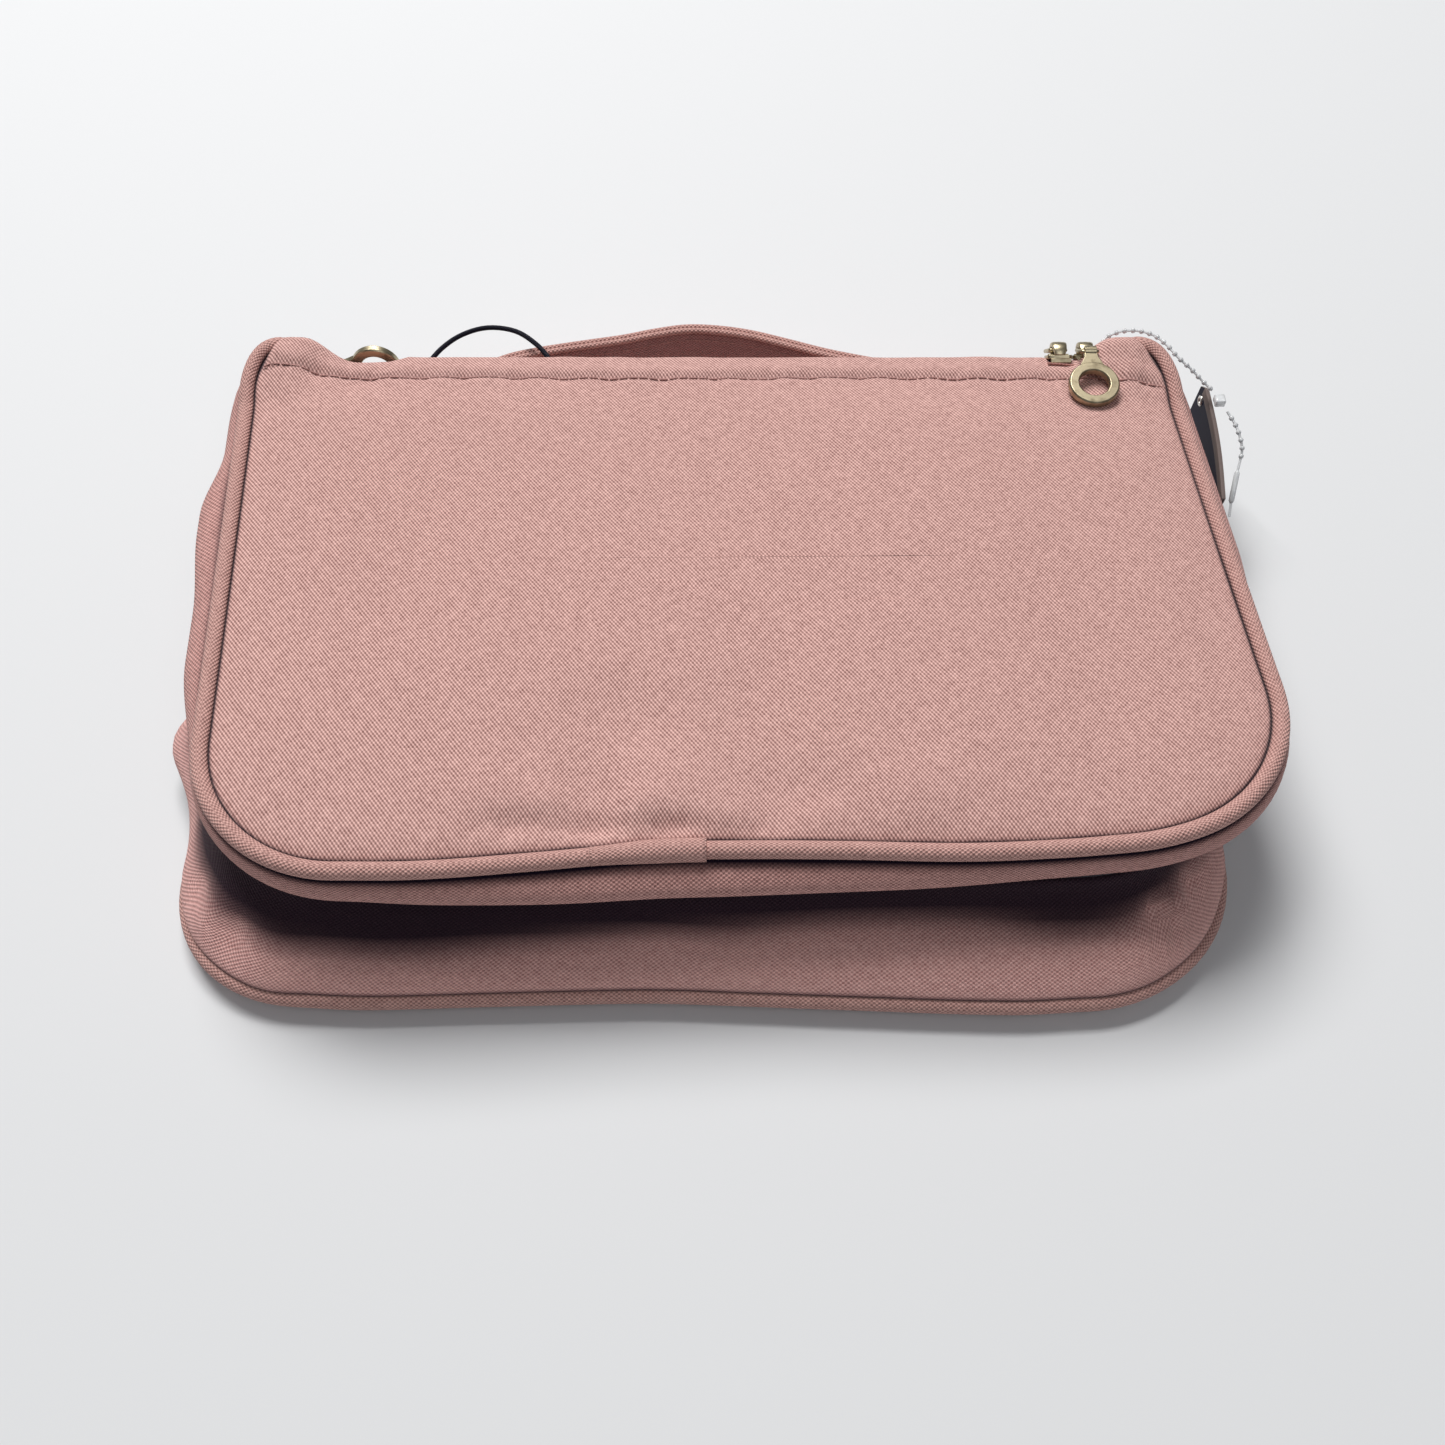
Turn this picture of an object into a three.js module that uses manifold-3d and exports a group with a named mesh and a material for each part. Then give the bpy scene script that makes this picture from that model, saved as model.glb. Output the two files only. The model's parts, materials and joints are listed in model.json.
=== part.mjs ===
// A soft clamshell makeup bag lying on its back: a deep base tray, a shallow lid hinged on the crest
// of the spine, piped edges, a three-sided zip, a top carry handle and a retail tag.
// Millimetres, +Z up, +X to the right, +Y towards the spine. The origin is on the floor under the
// base panel, and the bag's near side is at -Y.
import * as THREE from "three";
import { mergeVertices } from "three/addons/utils/BufferGeometryUtils.js";
import Module from "manifold-3d";

const wasm = await Module();
wasm.setup();

// Driving dimensions
const GAP = 0.35; // air left between neighbouring pieces
const FABRIC = 1.6; // a padded fabric wall
const LINING = 0.8; // the lining cloth
const PIPE_R = 2.3; // radius of the piping round both panels

const BASE = { half: 141, near: -100.5, far: 96.8, rNear: 34, rFar: 13, shear: -0.03, slew: 0 };
const RIM = { half: 135, near: -77, far: 96, rNear: 34, rFar: 13, shear: -0.015, slew: 0 };
const LID = { half: 141.5, near: -78.5, far: 95.5, rNear: 37, rFar: 12, shear: 0.055, slew: 0.02 };

const BASE_PANEL_TOP = 2.0;
const BASE_PIPE_Z = 5.0;
const RIM_Z = 26.0; // top of the base's side wall
const LID_SKIRT_Z = 33.0; // bottom of the lid's side wall
const LID_SKIRT_TOP = 41.6;
const LID_PIPE_Z = 44.0;
const PANEL_EDGE_Z = [43.2, 45.2]; // under and upper side of the front panel at its edge
const PANEL_CROWN = 1.6; // how far the panel's middle stands above its edge
const HINGE = { y: 99.2, z: 44.6 }; // the lid turns on the crest

const SPINE_HALF = 100; // half the length of the hinge and of the spine strip
const SPINE_Y = 98.2; // outer face of the spine strip
const SPINE_TOP = 42.4;
const COIL_R = 0.7;
const ZIP_HALF_END = 124; // the coils stop here on the far side, short of the parked sliders

const PINK = 0xd1a89e;
const PINK_DEEP = 0x9b7673;
const DARK = 0x1c1426;
const GOLD = 0x8f7048;

const meshes = new THREE.Group();

function paint(name, geometry, color, roughness = 0.9, metalness = 0) {
  const material = new THREE.MeshStandardMaterial({ color, roughness, metalness });
  const mesh = new THREE.Mesh(geometry, material);
  mesh.name = name;
  meshes.add(mesh);
  return mesh;
}

// Outlines: rounded rectangles, leaned over by shear and slew

function lean(o, x, y) {
  const down = (o.far - y) / (o.far - o.near);
  return [x + o.shear * (o.far - y), y + o.slew * x * down];
}

function inset(o, by) {
  const r = (v) => Math.max(v - by, 1);
  return {
    ...o, half: o.half - by, near: o.near + by, far: o.far - by, rNear: r(o.rNear), rFar: r(o.rFar),
  };
}

function arc(cx, cy, r, from, to, steps) {
  return Array.from({ length: steps + 1 }, (_, i) => {
    const a = from + ((to - from) * i) / steps;
    return [cx + r * Math.cos(a), cy + r * Math.sin(a)];
  });
}

// Anticlockwise from the far side's left end: down the left, along the near side and up the right.
function uShape(o, farHalf, fine = 1) {
  const q = Math.PI / 2;
  const near = Math.round(6 * fine);
  const far = Math.round(3 * fine);
  const run = Math.max(1, Math.round(2 * fine));
  const left = -o.half;
  const pts = [[-farHalf, o.far]];
  pts.push(...arc(left + o.rFar, o.far - o.rFar, o.rFar, q, 2 * q, far));
  for (let i = 1; i < run; i++) {
    const t = i / run;
    pts.push([left, THREE.MathUtils.lerp(o.far - o.rFar, o.near + o.rNear, t)]);
  }
  pts.push(...arc(left + o.rNear, o.near + o.rNear, o.rNear, 2 * q, 3 * q, near));
  for (let i = 1; i < 2 * run; i++) {
    const t = i / (2 * run);
    pts.push([THREE.MathUtils.lerp(left + o.rNear, -left - o.rNear, t), o.near]);
  }
  const right = pts.filter((p) => p[0] < -0.001).map((p) => [-p[0], p[1]]).reverse();
  return [...pts, ...right].map((p) => lean(o, ...p));
}

function closedShape(o, fine = 1) {
  return uShape(o, o.half - o.rFar - 12, fine);
}

// Solids built from cross-sections

function solid(points, faces) {
  const g = new THREE.BufferGeometry();
  g.setAttribute("position", new THREE.Float32BufferAttribute(points.flat(), 3));
  g.setIndex(faces.flat());
  g.computeVertexNormals();
  return g;
}

// A wall: levels are [outline, z] from the outer bottom over the rim to the inner bottom.
function wall(levels, closed) {
  const n = levels[0][0].length;
  const m = levels.length;
  const points = [];
  for (let i = 0; i < n; i++) {
    for (const [outline, z] of levels) points.push([...outline[i], z]);
  }
  const faces = [];
  const spans = closed ? n : n - 1;
  for (let i = 0; i < spans; i++) {
    const a = i * m;
    const b = ((i + 1) % n) * m;
    for (let j = 0; j < m; j++) {
      const k = (j + 1) % m;
      faces.push([a + j, b + j, b + k], [a + j, b + k, a + k]);
    }
  }
  if (!closed) {
    const last = (n - 1) * m;
    for (let j = 0; j < m / 2 - 1; j++) {
      const k = m - 1 - j;
      faces.push([j, j + 1, k - 1], [j, k - 1, k]);
      faces.push([last + j, last + k - 1, last + j + 1], [last + j, last + k, last + k - 1]);
    }
  }
  return solid(points, faces);
}

// A plate: rings are [outline, z] from the middle of the underside out and back over the top.
function plate(rings, bottomZ, topZ) {
  const n = rings[0][0].length;
  const centre = rings[0][0].reduce((s, p) => [s[0] + p[0] / n, s[1] + p[1] / n], [0, 0]);
  const points = rings.flatMap(([outline, z]) => outline.map((p) => [...p, z]));
  const faces = [];
  for (let r = 0; r + 1 < rings.length; r++) {
    for (let i = 0; i < n; i++) {
      const k = (i + 1) % n;
      const [a, b, c, d] = [r * n + i, r * n + k, (r + 1) * n + i, (r + 1) * n + k];
      faces.push([a, b, d], [a, d, c]);
    }
  }
  const under = points.push([...centre, bottomZ]) - 1;
  const over = points.push([...centre, topZ]) - 1;
  const top = (rings.length - 1) * n;
  for (let i = 0; i < n; i++) {
    const k = (i + 1) % n;
    faces.push([under, k, i], [over, top + i, top + k]);
  }
  return solid(points, faces);
}

function flatPlate(outline, z0, z1) {
  return plate([[outline, z0], [outline, z1]], z0, z1);
}

function circle(r, sides) {
  const s = new THREE.Shape();
  const pts = arc(0, 0, r, 0, 2 * Math.PI, sides).slice(0, sides);
  s.setFromPoints(pts.map((p) => new THREE.Vector2(...p)));
  return s;
}

function tube(points, r, sides, steps, bend = 0.5) {
  const path = points.map((p) => new THREE.Vector3(...p));
  const extrudePath = new THREE.CatmullRomCurve3(path, false, "catmullrom", bend);
  return new THREE.ExtrudeGeometry(circle(r, sides), { steps, bevelEnabled: false, extrudePath });
}

function alongX(shape, length) {
  const g = new THREE.ExtrudeGeometry(shape, { depth: length, bevelEnabled: false, curveSegments: 8 });
  g.translate(0, 0, -length / 2);
  g.rotateY(Math.PI / 2);
  g.rotateX(Math.PI / 2);
  return g;
}

function upwards(shape, z0, z1, curveSegments = 8) {
  const depth = z1 - z0;
  const g = new THREE.ExtrudeGeometry(shape, { depth, bevelEnabled: false, curveSegments });
  g.translate(0, 0, z0);
  return g;
}

function polygon(points) {
  return new THREE.Shape(points.map((p) => new THREE.Vector2(...p)));
}

function box(x0, x1, y0, y1, z0, z1) {
  const g = new THREE.BoxGeometry(x1 - x0, y1 - y0, z1 - z0);
  g.translate((x0 + x1) / 2, (y0 + y1) / 2, (z0 + z1) / 2);
  return g;
}

// Joins and cuts

function toManifold(geometry) {
  const g = geometry.clone();
  g.deleteAttribute("normal");
  g.deleteAttribute("uv");
  const merged = mergeVertices(g, 1e-4);
  const vertProperties = new Float32Array(merged.attributes.position.array);
  const triVerts = new Uint32Array(merged.index.array);
  return new wasm.Manifold(new wasm.Mesh({ numProp: 3, vertProperties, triVerts }));
}

function toGeometry(manifold) {
  const m = manifold.getMesh();
  const g = new THREE.BufferGeometry();
  g.setAttribute("position", new THREE.BufferAttribute(new Float32Array(m.vertProperties), 3));
  g.setIndex(new THREE.BufferAttribute(new Uint32Array(m.triVerts), 1));
  g.computeVertexNormals();
  return g;
}

function joined(...parts) {
  return toGeometry(parts.map(toManifold).reduce((a, b) => a.add(b)));
}

function cut(body, ...tools) {
  return toGeometry(tools.map(toManifold).reduce((a, b) => a.subtract(b), toManifold(body)));
}

// The base tray

function basePanel() {
  const outline = closedShape(inset(BASE, 0.6));
  paint("base_panel", flatPlate(outline, 0, BASE_PANEL_TOP), PINK);
}

// Outlines of the base's side wall at a height: it leans in from the piping to the rim.
function baseWallAt(t, by, fine = 1) {
  const mix = (a, b) => THREE.MathUtils.lerp(a, b, t);
  const foot = inset(BASE, PIPE_R + GAP + 1.4);
  const o = {};
  for (const key of Object.keys(BASE)) o[key] = mix(foot[key], RIM[key]);
  const belly = 1.5 * Math.sin(Math.PI * t);
  return closedShape(inset(o, by - belly), fine);
}

function baseGusset() {
  const z0 = BASE_PANEL_TOP + GAP;
  const at = (t) => THREE.MathUtils.lerp(z0, RIM_Z, t);
  const outer = [0, 0.35, 0.7, 1].map((t) => [baseWallAt(t, 0), at(t)]);
  const inner = [1, 0.7, 0.35, 0].map((t) => [baseWallAt(t, FABRIC), at(t)]);
  paint("base_gusset", wall([...outer, ...inner], true), PINK);
}

function baseLining() {
  const z0 = BASE_PANEL_TOP + GAP;
  const clear = FABRIC + GAP;
  const zAt = (t) => THREE.MathUtils.lerp(z0, RIM_Z - 0.6, t);
  const rings = [[baseWallAt(0, clear + LINING), z0], [baseWallAt(0, clear), z0]];
  for (const t of [0.35, 0.7, 1]) rings.push([baseWallAt(t, clear), zAt(t)]);
  for (const t of [1, 0.7, 0.35]) rings.push([baseWallAt(t, clear + LINING), zAt(t)]);
  rings.push([baseWallAt(0, clear + LINING), z0 + LINING]);
  paint("base_lining", plate(rings, z0, z0 + LINING), DARK);
}

function basePiping() {
  const path = closedShape(BASE).map((p) => [...p, BASE_PIPE_Z]);
  path.unshift([-0.3, BASE.far, BASE_PIPE_Z]);
  path.push([0.3, BASE.far, BASE_PIPE_Z]);
  paint("base_piping", tube(path, PIPE_R, 10, 84, 0.35), PINK_DEEP);
}

function spineStrip() {
  const g = box(-SPINE_HALF, SPINE_HALF, SPINE_Y - FABRIC, SPINE_Y, RIM_Z + GAP, SPINE_TOP);
  paint("spine_strip", g, PINK);
}

// The lid

function lidOutline(by, fine = 1) {
  return closedShape(inset(LID, by), fine);
}

// The front panel, with both far corners cut back where the zip ends come over the crest.
function frontPanel() {
  const edge = PIPE_R + GAP;
  const [under, over] = PANEL_EDGE_Z;
  const rings = [
    [lidOutline(40), under + PANEL_CROWN],
    [lidOutline(edge), under],
    [lidOutline(edge), over],
    [lidOutline(40), over + PANEL_CROWN],
  ];
  const body = plate(rings, under + PANEL_CROWN, over + PANEL_CROWN);
  const hem = box(-SPINE_HALF, SPINE_HALF, 92, HINGE.y - 0.9, under, over);
  const notches = [-1, 1].map((s) => {
    const x = [s * (SPINE_HALF + 0.4), s * 200].sort((a, b) => a - b);
    return box(x[0], x[1], 89.5, 140, under - 2, over + 6);
  });
  paint("front_panel", toGeometry(
    notches.map(toManifold).reduce((a, b) => a.subtract(b), toManifold(joined(body, hem))),
  ), PINK);
}

function lidSkirtLevels(z, by, fine = 1) {
  const t = (LID_SKIRT_TOP - z) / (LID_SKIRT_TOP - LID_SKIRT_Z);
  const flare = 6 * Math.sin((t * Math.PI) / 2);
  return [uShape(inset(LID, PIPE_R - 0.4 - flare + by), SPINE_HALF + 0.4, fine), z];
}

function lidGusset() {
  const steps = [LID_SKIRT_Z, 35.4, 38.2, LID_SKIRT_TOP - GAP];
  const outer = steps.map((z) => lidSkirtLevels(z, 0));
  const inner = [...steps].reverse().map((z) => lidSkirtLevels(z, FABRIC));
  paint("lid_gusset", wall([...outer, ...inner], false), PINK);
}

// The piping runs round three sides of the front panel and curls back at both far corners.
// Its two lengths butt together under a short wrap of cloth on the near side.
const WRAP_X = [-38, 2];

function frontPiping() {
  const path = uShape(LID, LID.half - LID.rFar - 2, 1).map((p) => [...p, LID_PIPE_Z]);
  path.shift();
  path.pop();
  const curl = 6.5;
  path.slice(0, 2).forEach((p, i) => (p[2] += curl * (1 - i / 2) * 0.6));
  path.slice(-2).forEach((p, i) => (p[2] += curl * 0.3 * (i + 1)));
  const nearY = (x) => lean(LID, x - LID.shear * (LID.far - LID.near), LID.near)[1];
  const isNear = (p) => p[1] < LID.near + 6;
  const left = path.filter((p) => !(isNear(p) && p[0] > WRAP_X[0] - 6) && p[0] < WRAP_X[0] - 6);
  const right = path.filter((p) => p[0] > WRAP_X[1] + 6);
  const end = (x) => [x, nearY(x), LID_PIPE_Z];
  left.push(end(WRAP_X[0] - 5), end(WRAP_X[0] - GAP));
  right.unshift(end(WRAP_X[1] + GAP), end(WRAP_X[1] + 5));
  paint("front_piping_left", tube(left, PIPE_R, 10, 40, 0.35), PINK_DEEP);
  paint("front_piping_right", tube(right, PIPE_R, 10, 48, 0.35), PINK_DEEP);
  const wrap = [0, 0.5, 1].map((t) => end(THREE.MathUtils.lerp(...WRAP_X, t)));
  paint("front_piping_wrap", tube(wrap, PIPE_R + 0.25, 10, 6), PINK_DEEP);
}

function lidLining() {
  const outline = closedShape(inset({ ...LID, far: 88 }, 5));
  paint("lid_lining", flatPlate(outline, 41.8, 41.8 + LINING), DARK);
}

// The main zip: a tape and a coil on each half, on three sides and round the far corners

function tapeWall(o, farHalf, z0, z1) {
  const [outer, inner] = [o, inset(o, 0.6)].map((s) => uShape(s, farHalf));
  return wall([[outer, z0], [outer, z1], [inner, z1], [inner, z0]], false);
}

function mainZip() {
  const baseEdge = inset(RIM, 0.5);
  paint("base_zip_tape", tapeWall(baseEdge, SPINE_HALF + 1.5, RIM_Z + GAP, 27.2), DARK);
  const baseCoil = uShape(inset(baseEdge, 0.3), ZIP_HALF_END).map((p) => [...p, 28.3]);
  paint("base_zip_coil", tube(baseCoil, COIL_R, 6, 66, 0.35), DARK, 0.5);
  const lidEdge = inset(LID, PIPE_R - 5.4);
  const skirtEdge = LID_SKIRT_Z - GAP;
  paint("lid_zip_tape", tapeWall(lidEdge, ZIP_HALF_END, 31.8, skirtEdge), DARK);
  const lidCoil = uShape(inset(lidEdge, 0.3), ZIP_HALF_END).map((p) => [...p, 30.8]);
  paint("lid_zip_coil", tube(lidCoil, COIL_R, 6, 66, 0.35), DARK, 0.5);
}

// Zip ends: the last straight run of the closed chain, turned out on to each far corner.
// A frame is the middle of the tape's outer face, with its outward direction at an angle above +Y.
const TAILS = {
  left: { x: [-137, -101], y: 100.4, z: 36.6, up: 0 },
  right: { x: [101, 128.4], y: 98.5, z: 44, up: Math.PI / 4 },
};
const TAPE_HALF = 4.4;
const CHAIN_HALF = 2.3;
const CHAIN_T = 1.2;
const TAPE_T = 0.6;

function place(mesh, tail, x) {
  mesh.position.set(x, tail.y, tail.z);
  mesh.rotation.x = tail.up;
  return mesh;
}

// In a tail's frame X runs along the chain, Y points out and Z points up the tape.
function tailPoint(tail, x, out, along) {
  const [c, s] = [Math.cos(tail.up), Math.sin(tail.up)];
  return [x, tail.y + out * c - along * s, tail.z + out * s + along * c];
}

function zipTail(side) {
  const tail = TAILS[side];
  const length = tail.x[1] - tail.x[0];
  const profile = polygon([
    [-TAPE_T, -TAPE_HALF], [0, -TAPE_HALF], [0, -CHAIN_HALF], [CHAIN_T, -CHAIN_HALF],
    [CHAIN_T, CHAIN_HALF], [0, CHAIN_HALF], [0, TAPE_HALF], [-TAPE_T, TAPE_HALF],
  ]);
  place(paint(`zip_end_${side}`, alongX(profile, length), PINK_DEEP), tail, (tail.x[0] + tail.x[1]) / 2);
}

// Sliders and pulls

const SLIDER = { half: 3.8, tall: 4.0, top: 2.9 }; // half length, half height, height of its face
const ARCH = { inner: 2.3, outer: 3.5, half: 1.0 };
const BAR_OUT = 4.3; // the link's lower bar, above the tape
const BAR = 0.45; // half the link's bar
const LINK = { length: 7.8, half: 2.6 };
const RING = { outer: 7.5, inner: 4.85, half: 1.3, reach: 12.3 };

function sliderBody(turn) {
  const channel = polygon([
    [0.3, -SLIDER.tall], [SLIDER.top, -SLIDER.tall + 0.6], [SLIDER.top, SLIDER.tall - 0.6],
    [0.3, SLIDER.tall], [0.3, CHAIN_HALF + 0.35], [CHAIN_T + 0.3, CHAIN_HALF + 0.35],
    [CHAIN_T + 0.3, -CHAIN_HALF - 0.35], [0.3, -CHAIN_HALF - 0.35],
  ]);
  const arch = new THREE.Shape();
  arch.absarc(0, 0, ARCH.outer, -Math.PI / 2, Math.PI / 2, false);
  arch.absarc(0, 0, ARCH.inner, Math.PI / 2, -Math.PI / 2, true);
  const crown = alongX(arch, 2 * ARCH.half);
  crown.rotateY(turn);
  crown.translate(0, SLIDER.top - 0.2, 0);
  return joined(alongX(channel, 2 * SLIDER.half), crown);
}

// A flat rectangular link, from its lower bar at the origin along +Z, with both bars along X
function linkLoop() {
  const { length, half } = LINK;
  const w = half + BAR;
  const shape = polygon([[-w, -BAR], [w, -BAR], [w, length + BAR], [-w, length + BAR]]);
  const v = half - BAR;
  shape.holes.push(polygon([[-v, BAR], [-v, length - BAR], [v, length - BAR], [v, BAR]]));
  const g = new THREE.ExtrudeGeometry(shape, { depth: 2 * BAR, bevelEnabled: false });
  g.translate(0, 0, -BAR);
  g.rotateX(Math.PI / 2);
  return g;
}

// A bevelled ring on a short wide neck, with a barrel round the link's upper bar at the origin.
// It lies along +Z, with its faces to -Y and +Y.
function ringPull() {
  const { outer, inner, half, reach } = RING;
  const bevel = 0.5;
  const profile = [
    [inner, -half + bevel], [inner + bevel, -half], [outer - bevel, -half], [outer, -half + bevel],
    [outer, half - bevel], [outer - bevel, half], [inner + bevel, half], [inner, half - bevel],
    [inner, -half + bevel],
  ];
  const ring = new THREE.LatheGeometry(profile.map((p) => new THREE.Vector2(...p)), 28);
  ring.translate(0, 0, reach);
  const neckEnd = reach - outer + 0.9;
  const neck = new THREE.ExtrudeGeometry(
    polygon([[-1.75, 0.4], [1.75, 0.4], [3.4, neckEnd], [-3.4, neckEnd]]),
    { depth: 1.9, bevelEnabled: false },
  );
  neck.translate(0, 0, -0.95);
  neck.rotateX(Math.PI / 2);
  const barrel = new THREE.CylinderGeometry(1.75, 1.75, 3.5, 14);
  barrel.rotateZ(Math.PI / 2);
  const hole = new THREE.CylinderGeometry(0.95, 0.95, 6, 12);
  hole.rotateZ(Math.PI / 2);
  return cut(joined(ring, neck, barrel), hole);
}

// Each slider: its tail, its place, the plane its pull swings in and how link and ring lie.
// Angles are in that plane, measured from straight out of the slider. The second slider at the
// right end has a link only.
const SLIDERS = [
  { name: "right_front", side: "right", x: 113, sideways: false, link: 96, ring: 145 },
  { name: "right_back", side: "right", x: 104.8, sideways: false, link: -90 },
  { name: "left", side: "left", x: -130.6, sideways: true, link: 82, ring: 90 },
];

// Where a pull's point lies when it is `out` from the tape and `swing` along the swing direction.
function pullPoint(s, out, swing) {
  const tail = TAILS[s.side];
  return s.sideways ? tailPoint(tail, s.x + swing, out, 0) : tailPoint(tail, s.x, out, swing);
}

function setPull(mesh, s, point, degrees) {
  const angle = THREE.MathUtils.degToRad(degrees);
  mesh.position.set(...point);
  const swing = new THREE.Matrix4();
  if (s.sideways) {
    swing.makeRotationZ(-angle);
    swing.multiply(new THREE.Matrix4().makeRotationY(Math.PI / 2));
  } else {
    swing.makeRotationX(TAILS[s.side].up + angle);
  }
  const out = new THREE.Matrix4().makeRotationX(-Math.PI / 2);
  mesh.quaternion.setFromRotationMatrix(swing.multiply(out));
}

function sliderSet(s) {
  const body = paint(`slider_${s.name}`, sliderBody(s.sideways ? Math.PI / 2 : 0), GOLD, 0.35, 1);
  place(body, TAILS[s.side], s.x);
  const bar = pullPoint(s, BAR_OUT, 0);
  setPull(paint(`link_${s.name}`, linkLoop(), GOLD, 0.35, 1), s, bar, s.link);
  if (s.ring === undefined) return;
  const a = THREE.MathUtils.degToRad(s.link);
  const eye = pullPoint(s, BAR_OUT + LINK.length * Math.cos(a), LINK.length * Math.sin(a));
  setPull(paint(`ring_pull_${s.name}`, ringPull(), GOLD, 0.35, 1), s, eye, s.ring);
}

// The carry handle: a strap on edge between two anchors on the spine, with a corded edge each side

const HANDLE = { half: 84, peakX: -12, out: 23, start: 100.3, z: [15.6, 33.4], cord: 1.55 };

function handleCurve() {
  const { half, peakX, out, start } = HANDLE;
  const pts = [
    [-half, start + 1.2], [-half + 7, start + 5.5], [-67, start + 11], [-52, start + 15],
    [peakX - 20, start + out - 3.8], [peakX, start + out + 1], [peakX + 21, start + out - 1.6],
    [34, start + 12.5], [half - 20, start + 4.6], [half, start + 1.2],
  ];
  return new THREE.CatmullRomCurve3(pts.map((p) => new THREE.Vector3(...p, 0)), false, "catmullrom");
}

function handleStrap() {
  const steps = 26;
  const curve = handleCurve();
  const sides = [-1, 1].map((s) => Array.from({ length: steps + 1 }, (_, i) => {
    const p = curve.getPoint(i / steps);
    const t = curve.getTangent(i / steps);
    return [p.x - s * t.y, p.y + s * t.x];
  }));
  const outline = polygon([...sides[0], ...sides[1].reverse()]);
  paint("handle_strap", upwards(outline, ...HANDLE.z), PINK);
}

function handleCords() {
  const along = handleCurve().getPoints(14);
  const off = HANDLE.cord + GAP;
  for (const [name, z] of [["lower", HANDLE.z[0] - off], ["upper", HANDLE.z[1] + off]]) {
    const path = along.map((p) => [p.x, p.y, z]);
    paint(`handle_cord_${name}`, tube(path, HANDLE.cord, 8, 30), PINK_DEEP);
  }
}

function handleAnchors() {
  const y = SPINE_Y + GAP;
  for (const [name, s] of [["left", -1], ["right", 1]]) {
    const x = [s * (HANDLE.half - 9), s * (HANDLE.half + 5)].sort((a, b) => a - b);
    paint(`handle_anchor_${name}`, box(x[0], x[1], y, y + 0.9, 27, 40), PINK_DEEP);
  }
}

// The thin elastic loop on the spine

function elasticLoop() {
  const path = [
    [-95, 98.8, 38.6], [-94, 103, 38.8], [-90, 111, 39], [-84, 117.5, 39], [-76, 120.6, 39.2],
    [-67, 118.6, 39.6], [-60, 112.6, 39.8], [-55, 105.5, 39.6], [-52.5, 98.8, 39.2],
  ];
  paint("elastic_loop", tube(path, 0.8, 8, 42), 0x0a0a19, 0.6);
}

// The retail tag: a card beside the right-hand side, on a beaded plastic loop from the zip pull.
// The card hangs from its hole, with its near end lower.
const TAG = { x: 151.9, y: [53.7, 97.7], z: [12, 38.4], t: 0.8, hole: [94.2, 32.6], tilt: 9.5 };

function hung(g) {
  g.translate(0, -TAG.hole[0], -TAG.hole[1]);
  g.rotateX(THREE.MathUtils.degToRad(TAG.tilt));
  g.translate(TAG.x, ...TAG.hole);
  return g;
}

function tagCard() {
  const [[y0, y1], [z0, z1]] = [TAG.y, TAG.z];
  const clip = 3;
  const card = polygon([
    [y0, z0], [y1, z0], [y1, z1 - clip], [y1 - clip, z1], [y0, z1],
  ]);
  const hole = new THREE.Path();
  hole.absarc(...TAG.hole, 2.1, 0, 2 * Math.PI, true);
  card.holes.push(hole);
  paint("tag_card", hung(alongX(card, TAG.t)), 0x2a2c3e, 0.6);
  const profile = [[1.0, -0.6], [1.75, -0.6], [1.75, 0.6], [1.0, 0.6], [1.0, -0.6]];
  const eyelet = new THREE.LatheGeometry(profile.map((p) => new THREE.Vector2(...p)), 16);
  eyelet.rotateZ(Math.PI / 2);
  eyelet.translate(TAG.x, ...TAG.hole);
  paint("tag_eyelet", eyelet, 0xb9b6ad, 0.3, 1);
}

function tagLoop() {
  const path = [
    [118.2, 102.9, 49.6], [120.6, 104.2, 50.2], [124.5, 105.2, 49.6], [129.5, 105.2, 48.6],
    [134.4, 103.2, 48.6], [138, 99.6, 48.8], [140.4, 96.8, 48.6], [142.9, 95.0, 47.8],
    [145.2, 93.8, 46.4], [147.6, 92.4, 44.6], [150.2, 90.8, 42.8], [152.2, 89.4, 41.7],
  ];
  paint("tag_loop", tube(path, 0.6, 8, 36), 0xe8ecee, 0.2);
  const lock = box(152.8, 156, 84.8, 88.4, 38.8, 41.4);
  paint("tag_lock", lock, 0xe8ecee, 0.2);
  const tail = [
    [156.9, 84, 37.9], [159.2, 80.6, 36], [160.2, 77.9, 34.8], [161, 75.6, 33.2], [161.4, 73.8, 31.5],
    [161.1, 71.9, 29.5], [160.2, 68.8, 27], [159.1, 65.3, 24.5], [158.4, 61.3, 21.5], [158, 57.8, 18.5],
  ];
  paint("tag_loop_tail", tube(tail, 0.6, 8, 26), 0xe8ecee, 0.2);
}

// Inside: a zipped mesh pocket in the lid and an elastic with four loops in the base

const POCKET = { half: 118, y: [-62, 66], z: 38.4, slider: 108.5 };

function meshPocket() {
  const { half, y, z } = POCKET;
  const shape = new THREE.Shape();
  const r = 20;
  shape.moveTo(-half, y[1]);
  shape.absarc(-half + r, y[0] + r, r, Math.PI, 1.5 * Math.PI, false);
  shape.absarc(half - r, y[0] + r, r, 1.5 * Math.PI, 2 * Math.PI, false);
  shape.lineTo(half, y[1]);
  paint("pocket_mesh", upwards(shape, z, z + 0.6, 5), DARK);
  const rim = polygon([
    [-half, y[1]], [-half, y[0]], [half, y[0]], [half, y[1]],
    [half - 4, y[1]], [half - 4, y[0] + 4], [-half + 4, y[0] + 4], [-half + 4, y[1]],
  ]);
  paint("pocket_binding", upwards(rim, z + 0.6 + GAP, 41.4), PINK_DEEP);
}

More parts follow.
